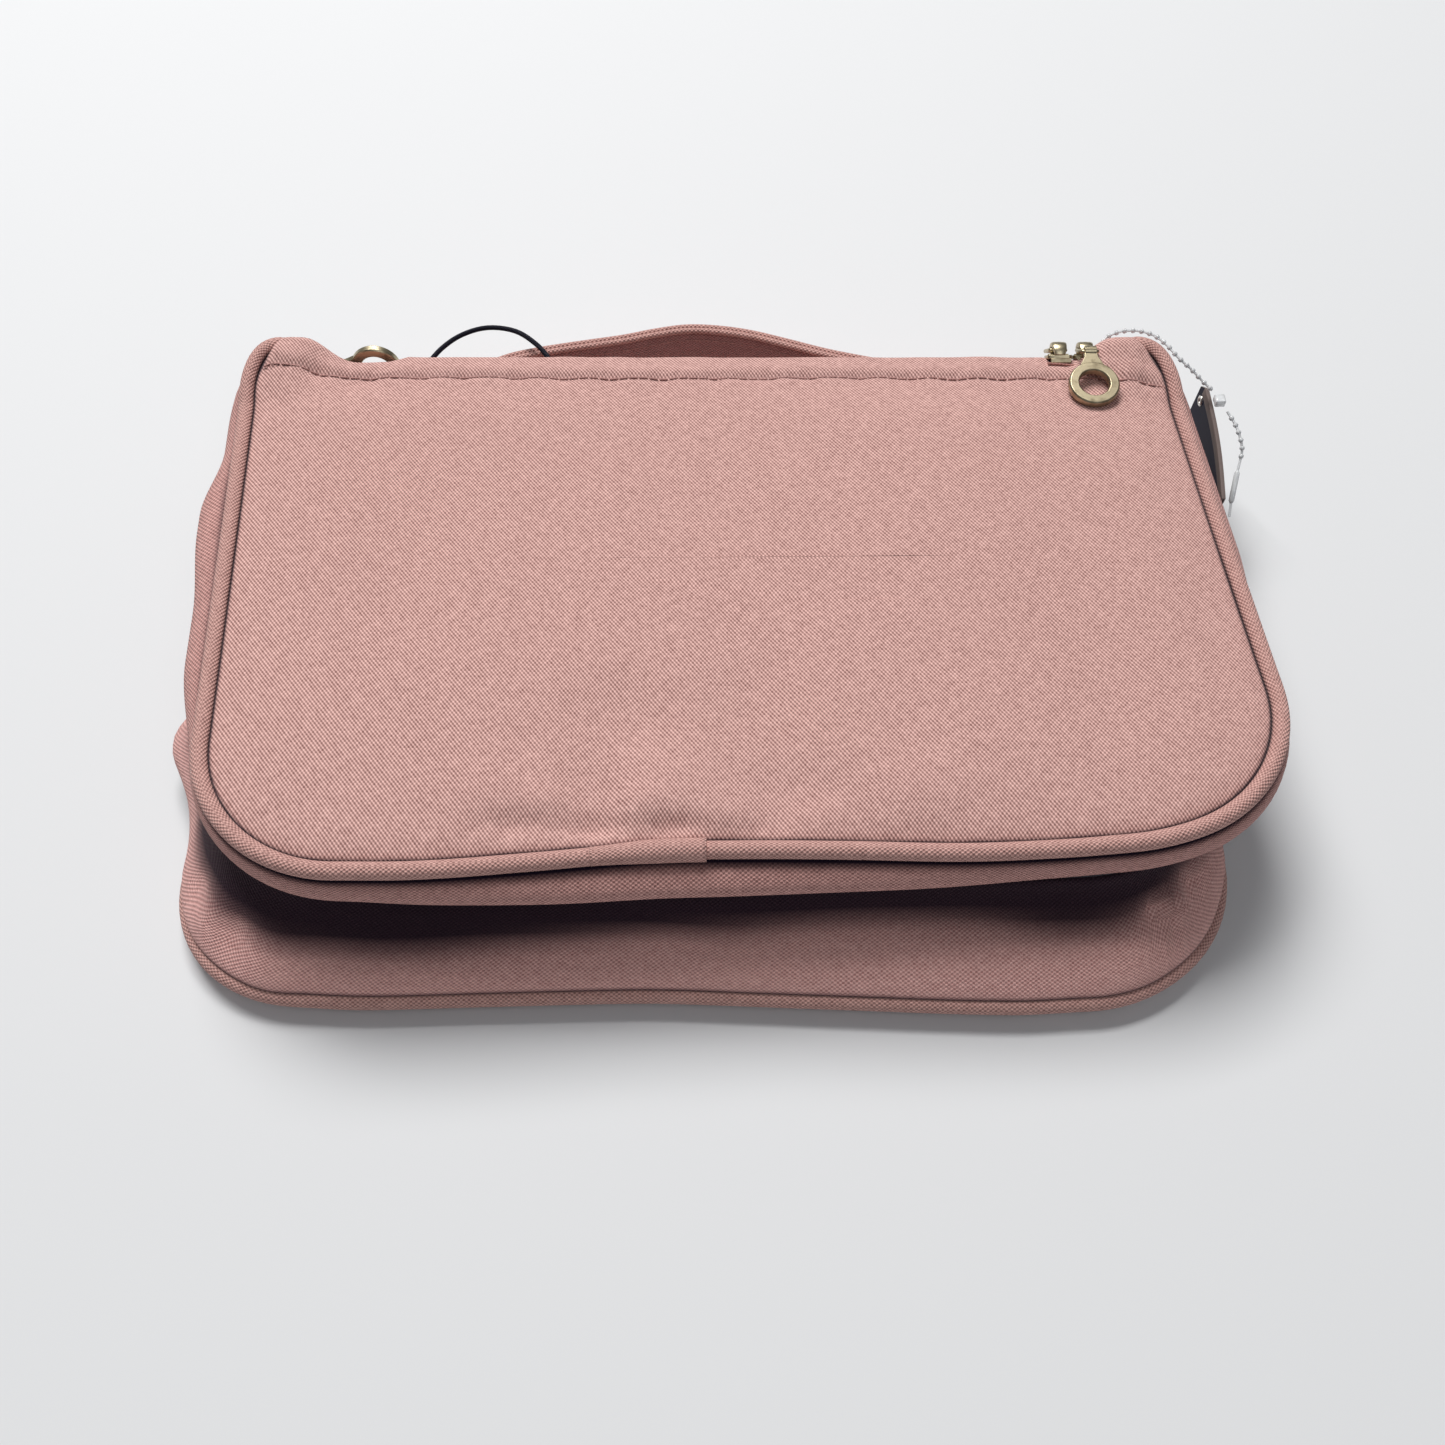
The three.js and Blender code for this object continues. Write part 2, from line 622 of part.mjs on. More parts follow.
function pocketZip() {
  const { half, y, z } = POCKET;
  paint("pocket_zip_tape", box(-half, half, y[1] + GAP, y[1] + 18, z, z + 0.6), DARK);
  const mid = y[1] + 9;
  paint("pocket_zip_coil", box(-half + 4, half - 4, mid - 1.6, mid + 1.6, z - 1.4, z - GAP), DARK, 0.5);
  const top = z - GAP;
  const at = POCKET.slider;
  const body = box(at - 4.5, at + 4.5, mid - 3.6, mid + 3.6, top - 3.2, top);
  const slot = box(at - 9, at + 9, mid - 1.95, mid + 1.95, top - 1.4, top + 1);
  const crown = box(at - 3.5, at + 3.5, mid - 0.7, mid + 0.7, top - 6.4, top - 3);
  const eye = box(at - 2.6, at + 2.6, mid - 2, mid + 2, top - 5.6, top - 3.2);
  paint("pocket_slider", cut(joined(cut(body, slot), crown), eye), GOLD, 0.35, 1);
  paint("pocket_pull", pocketPull(at, mid, top - 6.15), GOLD, 0.35, 1);
}

// A flat tab hanging from the crown of the pocket's slider
const PULL_DROP = 8.2;

function pocketPull(x, y, z) {
  const tab = new THREE.Shape();
  tab.absarc(0, 0, 2.6, 0, Math.PI, false);
  tab.lineTo(-2.2, -PULL_DROP);
  tab.lineTo(2.2, -PULL_DROP);
  const hole = new THREE.Path();
  hole.absarc(0, 0, 1.3, 0, 2 * Math.PI, true);
  tab.holes.push(hole);
  const g = alongX(tab, 0.8);
  g.translate(x, y, z);
  return g;
}

const LOOPS = { count: 4, pitch: 46, deep: 15, y: 89.4, z: [7, 23], t: 1.2 };

// One loop from its left tab: how far along the pitch each corner is, and whether it stands out
const LOOP_CORNERS = [[0, 0], [4, 0], [9, 1], [37, 1], [42, 0]];

function bottleElastic() {
  const { count, pitch, deep, y, z, t } = LOOPS;
  const span = (count * pitch) / 2;
  const line = [[-span - 8, y]];
  for (let i = 0; i < count; i += 1) {
    for (const [along, out] of LOOP_CORNERS) line.push([-span + i * pitch + along, y - deep * out]);
  }
  line.push([span + 8, y]);
  const near = line.map(([x, v]) => [x, v - t / 2]);
  const far = line.map(([x, v]) => [x, v + t / 2]).reverse();
  paint("bottle_elastic", upwards(polygon([...near, ...far]), ...z), DARK);
}

basePanel();
baseGusset();
baseLining();
basePiping();
spineStrip();
frontPanel();
lidGusset();
frontPiping();
lidLining();
mainZip();
zipTail("left");
zipTail("right");
SLIDERS.forEach(sliderSet);
handleStrap();
handleCords();
handleAnchors();
elasticLoop();
tagCard();
tagLoop();
meshPocket();
pocketZip();
bottleElastic();

export default meshes;
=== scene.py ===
import json
import math
from bisect import bisect_left

import bmesh
import bpy
from mathutils import Matrix, Vector, noise
from mathutils.bvhtree import BVHTree


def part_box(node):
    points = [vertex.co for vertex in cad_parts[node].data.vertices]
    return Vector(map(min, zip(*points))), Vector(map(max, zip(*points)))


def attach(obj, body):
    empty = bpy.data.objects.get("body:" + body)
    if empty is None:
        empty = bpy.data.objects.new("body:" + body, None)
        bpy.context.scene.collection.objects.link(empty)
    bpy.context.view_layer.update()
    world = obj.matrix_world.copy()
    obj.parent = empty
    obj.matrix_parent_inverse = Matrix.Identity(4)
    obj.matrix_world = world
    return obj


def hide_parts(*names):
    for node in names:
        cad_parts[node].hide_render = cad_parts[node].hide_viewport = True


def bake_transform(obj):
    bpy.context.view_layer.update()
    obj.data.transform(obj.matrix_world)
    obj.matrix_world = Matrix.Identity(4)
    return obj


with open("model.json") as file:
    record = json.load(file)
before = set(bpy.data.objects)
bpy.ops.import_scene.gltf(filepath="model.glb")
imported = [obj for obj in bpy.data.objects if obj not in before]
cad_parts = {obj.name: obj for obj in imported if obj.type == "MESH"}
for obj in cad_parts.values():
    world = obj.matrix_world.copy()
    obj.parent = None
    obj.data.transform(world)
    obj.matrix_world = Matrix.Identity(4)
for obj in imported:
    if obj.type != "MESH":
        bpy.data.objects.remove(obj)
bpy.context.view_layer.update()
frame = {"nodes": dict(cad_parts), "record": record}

MM = 0.001
JOINTS = {j["name"]: j for j in frame["record"]["behaviour"]["joints"]}

# The bag's outlines, in millimetres: the piping round each panel and the rim of the base. r_near and
# r_far are the corner radii, shear is X per Y, and bend is how far the near edge strays along Y at each X.
BASE = dict(half=141, near=-98.2, far=96.8, r_near=(35, 39), r_far=13, shear=-0.03, shift=0,
            bend=[(-140, 0.4), (-111, 0.4), (-89, -0.7), (-58, 0.1), (-19, 1.1), (-6, 1.0), (38, -0.7),
                  (81, -2.1), (99, -1.2), (125, 0), (145, 0)])
RIM = dict(half=135, near=-77, far=96, r_near=(34, 38), r_far=13, shear=-0.015, shift=0,
           bend=[(-140, 0), (0, 0.8), (80, 2), (140, 4)])
LID = dict(half=142.4, near=-78.5, far=95.5, r_near=(37, 49), r_far=12, shear=0.076, shift=-4.4,
           bend=[(-140, -2.4), (-104, -2.6), (-84, -2.4), (-55, 0), (-26, 2.9), (-5, 3.4), (24, 3.1),
                 (52, 2.7), (77, 3.8), (104, 6.0), (124, 6.0), (145, 6)])
PIPE_R = 2.35  # radius of the piping
SPINE_HALF = 100  # half the width of the cloth that joins tray and lid
LID_PIPE_Z = 44.2
WRAP_X = (-33, -4)  # the overlap of both lengths of the front piping
LOBE_OUT, LOBE_UP = 6.5, 5.2  # how far the lid's far corners stand out along Y and up
PAINTED_SHADE_COLOUR = (0.010, 0.002, 0.014)  # colour of painted shade, at seams, in hollows and beneath the lid


# Camera, floor and light

def make_camera():
    cam = bpy.data.objects.new("camera", bpy.data.cameras.new("camera"))
    bpy.context.scene.collection.objects.link(cam)
    cam.data.sensor_width = 36
    cam.data.lens = 38.1
    cam.data.clip_start = 0.01
    cam.location = (0, -0.262, 0.378)
    cam.rotation_euler = (math.radians(34), 0, 0)
    bpy.context.scene.camera = cam
    bpy.context.scene.view_settings.view_transform = "Standard"


def area_light(name, place, size, power, colour):
    """A rectangular lamp aimed at the bag."""
    light = bpy.data.lights.new(name, "AREA")
    light.shape = "RECTANGLE"
    light.size, light.size_y = size
    light.energy = power
    light.color = colour
    obj = bpy.data.objects.new(name, light)
    bpy.context.scene.collection.objects.link(obj)
    obj.location = place
    obj.rotation_euler = (-Vector(place)).to_track_quat("-Z", "Y").to_euler()


def make_lights():
    area_light("key", (-0.45, 1.25, 2.1), (1.3, 1.1), 67, (1.0, 0.99, 0.975))
    area_light("fill", (0.4, -1.2, 2.1), (1.2, 1.2), 9, (0.96, 0.98, 1.0))
    world = bpy.data.worlds.new("studio")
    bpy.context.scene.world = world
    world.use_nodes = True
    sky = world.node_tree.nodes["Background"]
    sky.inputs["Color"].default_value = (0.94, 0.96, 1.0, 1)
    sky.inputs["Strength"].default_value = 0.115


def make_floor():
    mat = new_material("floor_paper", (0.72, 0.73, 0.745), 0.75)
    size = 3.0
    obj = mesh_object("floor", [(-size, -size, 0), (size, -size, 0), (size, size, 0), (-size, size, 0)],
                      [(0, 1, 2, 3)], mat, smooth=False)


# Materials

def new_material(name, colour, rough, metal=0.0):
    mat = bpy.data.materials.new(name)
    mat.use_nodes = True
    shader = mat.node_tree.nodes["Principled BSDF"]
    shader.inputs["Base Color"].default_value = (*colour, 1)
    shader.inputs["Roughness"].default_value = rough
    shader.inputs["Metallic"].default_value = metal
    return mat


class Nodes:
    """Short calls for building a material's node tree."""

    def __init__(self, mat):
        self.tree = mat.node_tree
        self.shader = self.tree.nodes["Principled BSDF"]

    def node(self, kind, **values):
        n = self.tree.nodes.new(kind)
        for key, value in values.items():
            setattr(n, key, value)
        return n

    def put(self, socket, value):
        if hasattr(value, "default_value") or hasattr(value, "is_linked"):
            self.tree.links.new(value, socket)
        else:
            socket.default_value = value

    def math(self, op, *values):
        n = self.node("ShaderNodeMath", operation=op)
        for socket, v in zip(n.inputs, values):
            self.put(socket, v)
        return n.outputs[0]

    def times(self, a, b):
        return self.math("MULTIPLY", a, b)

    def uv(self):
        out = self.node("ShaderNodeUVMap", uv_map="cloth").outputs[0]
        split = self.node("ShaderNodeSeparateXYZ")
        self.tree.links.new(out, split.inputs[0])
        return split.outputs[0], split.outputs[1]

    def vector(self, x, y):
        n = self.node("ShaderNodeCombineXYZ")
        self.put(n.inputs[0], x)
        self.put(n.inputs[1], y)
        return n.outputs[0]

    def object_space(self):
        return self.node("ShaderNodeTexCoord").outputs["Object"]

    def noise(self, vector, scale, detail, rough):
        n = self.node("ShaderNodeTexNoise")
        self.put(n.inputs["Vector"], vector)
        n.inputs["Scale"].default_value = scale
        n.inputs["Detail"].default_value = detail
        n.inputs["Roughness"].default_value = rough
        return n.outputs["Fac"]

    def mix(self, fac, a, b):
        n = self.node("ShaderNodeMix", data_type="RGBA")
        self.put(n.inputs["Factor"], fac)
        for socket, v in ((n.inputs[6], a), (n.inputs[7], b)):
            self.put(socket, (*v, 1) if isinstance(v, tuple) else v)
        return n.outputs[2]

    def ramp(self, value, low, high):
        n = self.node("ShaderNodeMapRange")
        n.interpolation_type = "SMOOTHSTEP"
        self.put(n.inputs["Value"], value)
        n.inputs["From Min"].default_value = low
        n.inputs["From Max"].default_value = high
        return n.outputs["Result"]

    def bump(self, height, distance, strength, normal=None):
        n = self.node("ShaderNodeBump")
        n.inputs["Distance"].default_value = distance
        n.inputs["Strength"].default_value = strength
        self.put(n.inputs["Height"], height)
        if normal is not None:
            self.put(n.inputs["Normal"], normal)
        return n.outputs["Normal"]

    def colour(self, value):
        self.tree.links.new(value, self.shader.inputs["Base Color"])

    def normal(self, value):
        self.tree.links.new(value, self.shader.inputs["Normal"])


def woven(name, light, dark, warp, weft, twill=0.0):
    """Heathered weave: light threads over a darker ground, with twill as the share of diagonal line.
    UV is in millimetres; warp and weft are one repeat along U and V. The vertex value "shade" mixes in
    painted shade at seams, in hollows and on the tray's wall beneath the lid."""
    mat = new_material(name, light, 0.88)
    g = Nodes(mat)
    u, v = g.uv()
    turn = 2 * math.pi
    pu, pv = g.times(u, turn / warp), g.times(v, turn / weft)
    over = g.times(g.math("SINE", pu), g.math("SINE", pv))
    line = g.math("SINE", g.math("ADD", pu, pv))
    pattern = g.math("MULTIPLY_ADD", line, twill, g.times(over, 1 - twill))
    knots = g.ramp(pattern, -0.5, 0.5)
    row = g.math("FLOOR", g.times(v, 2 / weft))
    col = g.math("FLOOR", g.times(u, 2 / warp))
    along_row = g.noise(g.vector(g.times(u, 0.42), g.times(row, 7.31)), 1, 2, 0.6)
    along_col = g.noise(g.vector(g.times(col, 5.17), g.times(v, 0.42)), 1, 2, 0.6)
    heather = g.times(g.math("ADD", g.ramp(along_row, 0.3, 0.7), g.ramp(along_col, 0.3, 0.7)), 0.5)
    tone = g.math("MULTIPLY_ADD", knots, 0.66, g.times(heather, 0.34))
    cloth = g.mix(tone, dark, light)
    # Painted shade: the vertex value "shade" mixes the cloth towards the painted shade colour.
    shade = g.node("ShaderNodeAttribute", attribute_name="shade").outputs["Fac"]
    g.colour(g.mix(shade, cloth, PAINTED_SHADE_COLOUR))
    g.normal(g.bump(pattern, 0.16 * MM, 0.9))
    g.shader.inputs["Sheen Weight"].default_value = 0.12
    g.shader.inputs["Sheen Roughness"].default_value = 0.5
    g.shader.inputs["Sheen Tint"].default_value = (1.0, 0.85, 0.82, 1)
    g.shader.inputs["Specular IOR Level"].default_value = 0.2
    return mat


def nylon(name, colour, pitch=0.6, rough=0.55):
    """Fine dark lining with a faint crossed thread and creases; the creases' ridges are painted lighter and
    their hollows darker, as painted light and shade.
    """
    mat = new_material(name, colour, rough)
    g = Nodes(mat)
    u, v = g.uv()
    turn = 2 * math.pi / pitch
    grid = g.times(g.math("SINE", g.times(u, turn)),
                  g.math("SINE", g.times(v, turn)))
    crease = g.noise(g.vector(g.times(u, 0.05), g.times(v, 0.05)), 1, 4, 0.6)
    # Painted light and shade: the tone follows the crease bump, lighter on ridges and darker in hollows.
    tone = g.math("MULTIPLY_ADD", grid, 0.12, g.ramp(crease, 0.3, 0.7))
    g.colour(g.mix(tone, tuple(c * 0.6 for c in colour), tuple(min(1, c * 1.5 + 0.004) for c in colour)))
    fine = g.bump(g.math("MULTIPLY_ADD", grid, 0.5, 0.5), 0.06 * MM, 0.7)
    g.normal(g.bump(crease, 0.8 * MM, 0.35, fine))
    g.shader.inputs["Sheen Weight"].default_value = 0.3
    return mat


def braid(name, colour, across):
    """Braided elastic or thread: oblique ribs, across being their width."""
    mat = new_material(name, colour, 0.6)
    g = Nodes(mat)
    coord = g.object_space()
    wave = g.node("ShaderNodeTexWave", wave_type="BANDS", bands_direction="DIAGONAL")
    g.tree.links.new(coord, wave.inputs["Vector"])
    wave.inputs["Scale"].default_value = 0.35 / (across * MM)
    wave.inputs["Distortion"].default_value = 0.4
    g.colour(g.mix(wave.outputs["Fac"], tuple(c * 0.5 for c in colour), tuple(c * 1.3 for c in colour)))
    g.normal(g.bump(wave.outputs["Fac"], 0.1 * MM, 0.7))
    return mat


def antique(name, bright, deep, rough):
    """Brushed antique gold: worn metal with a thin patina."""
    mat = new_material(name, bright, rough, 1.0)
    g = Nodes(mat)
    coord = g.object_space()
    patina = g.noise(coord, 330, 3, 0.55)
    fine = g.noise(coord, 2600, 3, 0.6)
    g.colour(g.mix(g.times(g.ramp(patina, 0.45, 0.75), 0.7), bright, deep))
    g.tree.links.new(g.math("MULTIPLY_ADD", fine, 0.18, rough - 0.06), g.shader.inputs["Roughness"])
    g.normal(g.bump(fine, 0.02 * MM, 0.4))
    return mat


def plain(name, colour, rough, metal=0.0, grain=900, amount=0.15):
    """A plain surface with a fine grain."""
    mat = new_material(name, colour, rough, metal)
    g = Nodes(mat)
    coord = g.object_space()
    tone = g.noise(coord, grain, 3, 0.6)
    dark, light = tuple(c * (1 - amount) for c in colour), tuple(min(1, c * (1 + amount)) for c in colour)
    g.colour(g.mix(tone, dark, light))
    g.normal(g.bump(tone, 0.03 * MM, 0.5))
    return mat


def clear_plastic(name):
    mat = plain(name, (0.93, 0.95, 0.97), 0.12, 0.0, 500, 0.04)
    shader = mat.node_tree.nodes["Principled BSDF"]
    shader.inputs["Transmission Weight"].default_value = 0.4
    shader.inputs["IOR"].default_value = 1.45
    return mat


MAT = {}


def make_materials():
    light, dark = (0.94, 0.59, 0.535), (0.25, 0.115, 0.103)
    MAT["panel"] = woven("woven_pink", light, dark, 1.08, 1.37, 0.45)
    # A lighter copy of the band weave for the tray's wall, the spine and the strap: painted light.
    MAT["strip"] = woven("woven_pink_strip_lit", (1.0, 0.61, 0.56), (0.46, 0.205, 0.19), 1.37, 1.08)
    MAT["piping"] = woven("piping_pink", (0.82, 0.495, 0.44), (0.28, 0.135, 0.122), 1.37, 1.08)
    MAT["side"] = woven("woven_pink_band", (0.84, 0.475, 0.43), (0.27, 0.12, 0.11), 1.37, 1.08)
    MAT["fold"] = woven("woven_pink_tab", (0.80, 0.42, 0.37), (0.40, 0.18, 0.16), 1.08, 1.37)
    MAT["lining"] = nylon("dark_lining", (0.016, 0.010, 0.022))
    MAT["tape"] = nylon("zip_tape_dark", (0.020, 0.012, 0.026), 0.8, 0.7)
    MAT["coil"] = plain("zip_coil_dark", (0.022, 0.014, 0.030), 0.35, 0.0, 1500, 0.2)
    MAT["gold"] = antique("antique_gold", (0.50, 0.43, 0.29), (0.21, 0.165, 0.105), 0.32)
    MAT["thread"] = braid("sewing_thread", (0.50, 0.26, 0.235), 0.3)
    MAT["elastic"] = braid("black_elastic", (0.005, 0.005, 0.014), 0.5)
    MAT["band"] = nylon("elastic_band", (0.014, 0.010, 0.018), 1.2, 0.8)
    MAT["mesh"] = nylon("mesh_pocket", (0.018, 0.012, 0.022), 1.8, 0.6)
    MAT["card"] = plain("tag_card", (0.006, 0.007, 0.026), 0.6)
    MAT["card_back"] = plain("tag_card_back", (0.16, 0.125, 0.115), 0.6)
    MAT["steel"] = plain("eyelet_steel", (0.62, 0.60, 0.56), 0.28, 1.0)
    MAT["clear"] = clear_plastic("clear_plastic")
    for key in ("elastic", "card", "card_back"):
        MAT[key].node_tree.nodes["Principled BSDF"].inputs["Specular IOR Level"].default_value = 0.15


# Mesh tools. Points are given in millimetres.

def mesh_object(name, points, faces, material, smooth=True, uvs=None, shade=None):
    """A mesh object from points in metres; uvs is one pair for each corner of each face."""
    mesh = bpy.data.meshes.new(name)
    mesh.from_pydata([tuple(p) for p in points], [], faces)
    if uvs is not None:
        layer = mesh.uv_layers.new(name="cloth")
        for i, pair in enumerate(uvs):
            layer.data[i].uv = pair
    if shade is not None:
        values = mesh.attributes.new("shade", "FLOAT", "POINT")
        for i, value in enumerate(shade):
            values.data[i].value = value
    mesh.materials.append(material)
    for poly in mesh.polygons:
        poly.use_smooth = smooth
    obj = bpy.data.objects.new(name, mesh)
    bpy.context.scene.collection.objects.link(obj)
    return obj


def piece(obj, body, slot, *nodes):
    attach(obj, body)
    if nodes:
        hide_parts(*nodes)
    return obj


def lengths(points):
    """Running length along a path."""
    out = [0.0]
    for a, b in zip(points, points[1:]):
        out.append(out[-1] + (Vector(b) - Vector(a)).length)
    return out


def at_distance(path, s, d):
    """The point at a distance along a path whose running lengths are s."""
    i = min(bisect_left(s, d, 1), len(s) - 1) - 1
    return path[i].lerp(path[i + 1], min((d - s[i]) / max(s[i + 1] - s[i], 1e-6), 1))


def spread(a, b, n, first=1):
    """Evenly spaced values from a to b in n steps, without b."""
    return [a + (b - a) * i / n for i in range(first, n)]


def circle(n):
    """Sines and cosines of n even steps of a turn."""
    return [(math.sin(2 * math.pi * k / n), math.cos(2 * math.pi * k / n)) for k in range(n)]


def grid_faces(rows, n, closed=False):
    """Quads between rows of n points, round each row, and from the last row to the first when closed."""
    faces = []
    for j in range(rows if closed else rows - 1):
        for k in range(n):
            l, m = (j + 1) % rows, (k + 1) % n
            faces.append((j * n + k, j * n + m, l * n + m, l * n + k))
    return faces


def end_faces(rows, n):
    """The faces that close a grid's first and last rows."""
    return [tuple(reversed(range(n))), tuple((rows - 1) * n + k for k in range(n))]


def box_mm(node):
    """Both corners of a CAD node's box, in millimetres."""
    return [tuple(v / MM for v in corner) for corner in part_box(node)]


def thicken(obj, thickness, offset):
    mod = obj.modifiers.new("thickness", "SOLIDIFY")
    mod.thickness = thickness * MM
    mod.offset = offset


def loft(name, rings, material, closed_along=False, closed_across=False, caps=False, shade=None):
    """A surface through rings of equal counts. U runs along the ring and V across the rings.
    shade gives the painted shade at a ring's index and a point."""
    n, m = len(rings[0]), len(rings)
    points = [Vector(p) * MM for ring in rings for p in ring]
    mid = rings[m // 2]
    along = lengths(list(mid) + ([mid[0]] if closed_along else []))
    middle = [ring[n // 2] for ring in rings]
    across = lengths(middle + ([middle[0]] if closed_across else []))
    faces, uvs = [], []
    for j in range(m if closed_across else m - 1):
        for i in range(n if closed_along else n - 1):
            k, l = (i + 1) % n, (j + 1) % m
            faces.append((j * n + i, j * n + k, l * n + k, l * n + i))
            for a, b in ((i, j), (i + 1, j), (i + 1, j + 1), (i, j + 1)):
                uvs.append((along[a], across[b]))
    if caps:
        for i, flip in ((0, False), (n - 1, True)):
            loop = [j * n + i for j in range(m)]
            faces.append(tuple(loop if flip else loop[::-1]))
            uvs += [(along[i], across[j]) for j in range(m)]
    values = [shade(j, Vector(p)) for j, ring in enumerate(rings) for p in ring] if shade else None
    return mesh_object(name, points, faces, material, uvs=uvs, shade=values)


def blend_points(pairs, x):
    """A smooth curve through (x, value) pairs, held level beyond both ends."""
    if x <= pairs[0][0]:
        return pairs[0][1]
    if x >= pairs[-1][0]:
        return pairs[-1][1]
    i = next(k for k in range(len(pairs) - 1) if x <= pairs[k + 1][0])
    (ax, av), (bx, bv) = pairs[i], pairs[i + 1]

    def slope(k):
        (px, pv), (qx, qv) = pairs[max(k - 1, 0)], pairs[min(k + 1, len(pairs) - 1)]
        return (qv - pv) / (qx - px)
    t, w = (x - ax) / (bx - ax), bx - ax
    return (av * (1 + 2 * t) * (1 - t) ** 2 + bv * t * t * (3 - 2 * t)
            + w * slope(i) * t * (1 - t) ** 2 - w * slope(i + 1) * t * t * (1 - t))


def lean(o, x, y):
    """A flat outline point's real place: sheared, shifted and bent towards the near edge."""
    down = (o["far"] - y) / (o["far"] - o["near"])
    bent = blend_points(o["bend"], x) * smooth01(down * 1.6 - 0.6)
    return x + o["shift"] + o["shear"] * (o["far"] - y), y + bent


def inset(o, by):
    """The outline drawn in by a distance, or let out when by is negative."""
    out = dict(o, half=o["half"] - by, near=o["near"] + by, far=o["far"] - by)
    out["r_near"] = tuple(max(r - by, 0.02) for r in o["r_near"])
    out["r_far"] = max(o["r_far"] - by, 0.02)
    return out


def arc(cx, cy, r, start, stop, steps):
    angles = [start + (stop - start) * i / steps for i in range(steps + 1)]
    return [(cx + r * math.cos(a), cy + r * math.sin(a)) for a in angles]


def rail(o, far_half, step=3.0, flat=False):
    """The outline anticlockwise from the far side's left end, as (x, y), with a fixed point count."""
    half, near, far, rf = o["half"], o["near"], o["far"], o["r_far"]
    quarter = math.pi / 2

    def count(size):
        return max(2, round(size / step))

    def left_half(rn):
        start = min(far_half, half - rf)
        pts = [(-start, far)]
        pts += [(x, far) for x in spread(-start, -half + rf, count(140 - far_half + 1))]
        pts += arc(-half + rf, far - rf, rf, quarter, 2 * quarter, count(20))
        pts += [(-half, y) for y in spread(far - rf, near + rn, count(135))]
        pts += arc(-half + rn, near + rn, rn, 2 * quarter, 3 * quarter, count(64))
        return pts + [(x, near) for x in spread(-half + rn, 0, count(105))]

    left, right = (left_half(rn) for rn in o["r_near"])
    pts = left + [(0, near)] + [(-x, y) for x, y in reversed(right)]
    return pts if flat else [lean(o, x, y) for x, y in pts]


def ring_rail(o, step=3.0, flat=False):
    """The whole outline, closed across the far side."""
    pts = rail(o, SPINE_HALF, step, flat)
    n = round(2 * SPINE_HALF / step)
    (ax, ay), (bx, by) = pts[-1], pts[0]
    return pts + list(zip(spread(ax, bx, n), spread(ay, by, n)))


def smooth01(t):
    t = min(max(t, 0.0), 1.0)
    return t * t * (3 - 2 * t)


def bell(x, y, cx, cy, wx, wy):
    return math.exp(-((x - cx) / wx) ** 2 - ((y - cy) / wy) ** 2)


def ripple(x, y, size, seed=0.0):
    return noise.noise(Vector((x / size, y / size, seed)))


def catmull(points, per_span=8):
    """A smooth curve through points, as a dense list."""
    p = [Vector(q) for q in points]
    p = [2 * p[0] - p[1]] + p + [2 * p[-1] - p[-2]]
    out = []
    for a, b, c, d in zip(p, p[1:], p[2:], p[3:]):
        for i in range(per_span):
            t = i / per_span
            out.append(0.5 * (2 * b + (c - a) * t + (2 * a - 5 * b + 4 * c - d) * t * t
                              + (3 * b - a - 3 * c + d) * t ** 3))
    return out + [p[-2]]


def tube_rings(path, radius, sides, closed):
    """Rings round a path, with the section's first point held near +Z."""
    rings = []
    n = len(path)
    for i, p in enumerate(path):
        a = path[(i - 1) % n] if closed or i else path[0]
        b = path[(i + 1) % n] if closed or i + 1 < n else path[-1]
        t = (Vector(b) - Vector(a)).normalized()
        side = t.cross(Vector((0, 0, 1)))
        side = side.normalized() if side.length > 1e-4 else Vector((1, 0, 0))
        up = side.cross(t)
        r = radius(i / max(n - 1, 1)) if callable(radius) else radius
        rings.append([Vector(p) + side * r * sin + up * r * cos for sin, cos in circle(sides)])
    return rings


def tube(name, path, radius, material, sides=14, closed=False, shade=None):
    rings = tube_rings(path, radius, sides, closed)
    m = len(rings)
    points = [p * MM for ring in rings for p in ring]
    along = lengths([Vector(p) for p in path] + ([Vector(path[0])] if closed else []))
    r = radius(0.5) if callable(radius) else radius
    round_it = [2 * math.pi * r * k / sides for k in range(sides + 1)]
    faces, uvs = grid_faces(m, sides, closed), []
    for j in range(m if closed else m - 1):
        for k in range(sides):
            uvs += [(along[j], round_it[k]), (along[j], round_it[k + 1]),
                    (along[j + 1], round_it[k + 1]), (along[j + 1], round_it[k])]
    if not closed:
        faces += end_faces(m, sides)
        uvs += [(0, 0)] * (2 * sides)
    values = [shade(k / sides) for _ in rings for k in range(sides)] if shade else None
    return mesh_object(name, points, faces, material, uvs=uvs, shade=values)


def join_meshes(name, parts, material):
    """One object from (points, faces) lists in millimetres."""
    points, faces = [], []
    for pts, fcs in parts:
        base = len(points)
        points += [Vector(p) * MM for p in pts]
        faces += [tuple(base + i for i in f) for f in fcs]
    return mesh_object(name, points, faces, material)


def capsule(a, b, r, sides=6):
    """A short round-ended stitch or tooth from a to b."""
    a, b = Vector(a), Vector(b)
    t = (b - a).normalized()
    side = t.orthogonal().normalized()
    up = t.cross(side)
    pts = []
    tip, round_off = t * r * 0.5, t * r * 0.4
    for centre, scale in ((a - tip, 0.5), (a + round_off, 1), (b - round_off, 1), (b + tip, 0.5)):
        pts += [centre + (side * cos + up * sin) * r * scale for sin, cos in circle(sides)]
    return pts, grid_faces(4, sides) + end_faces(4, sides)


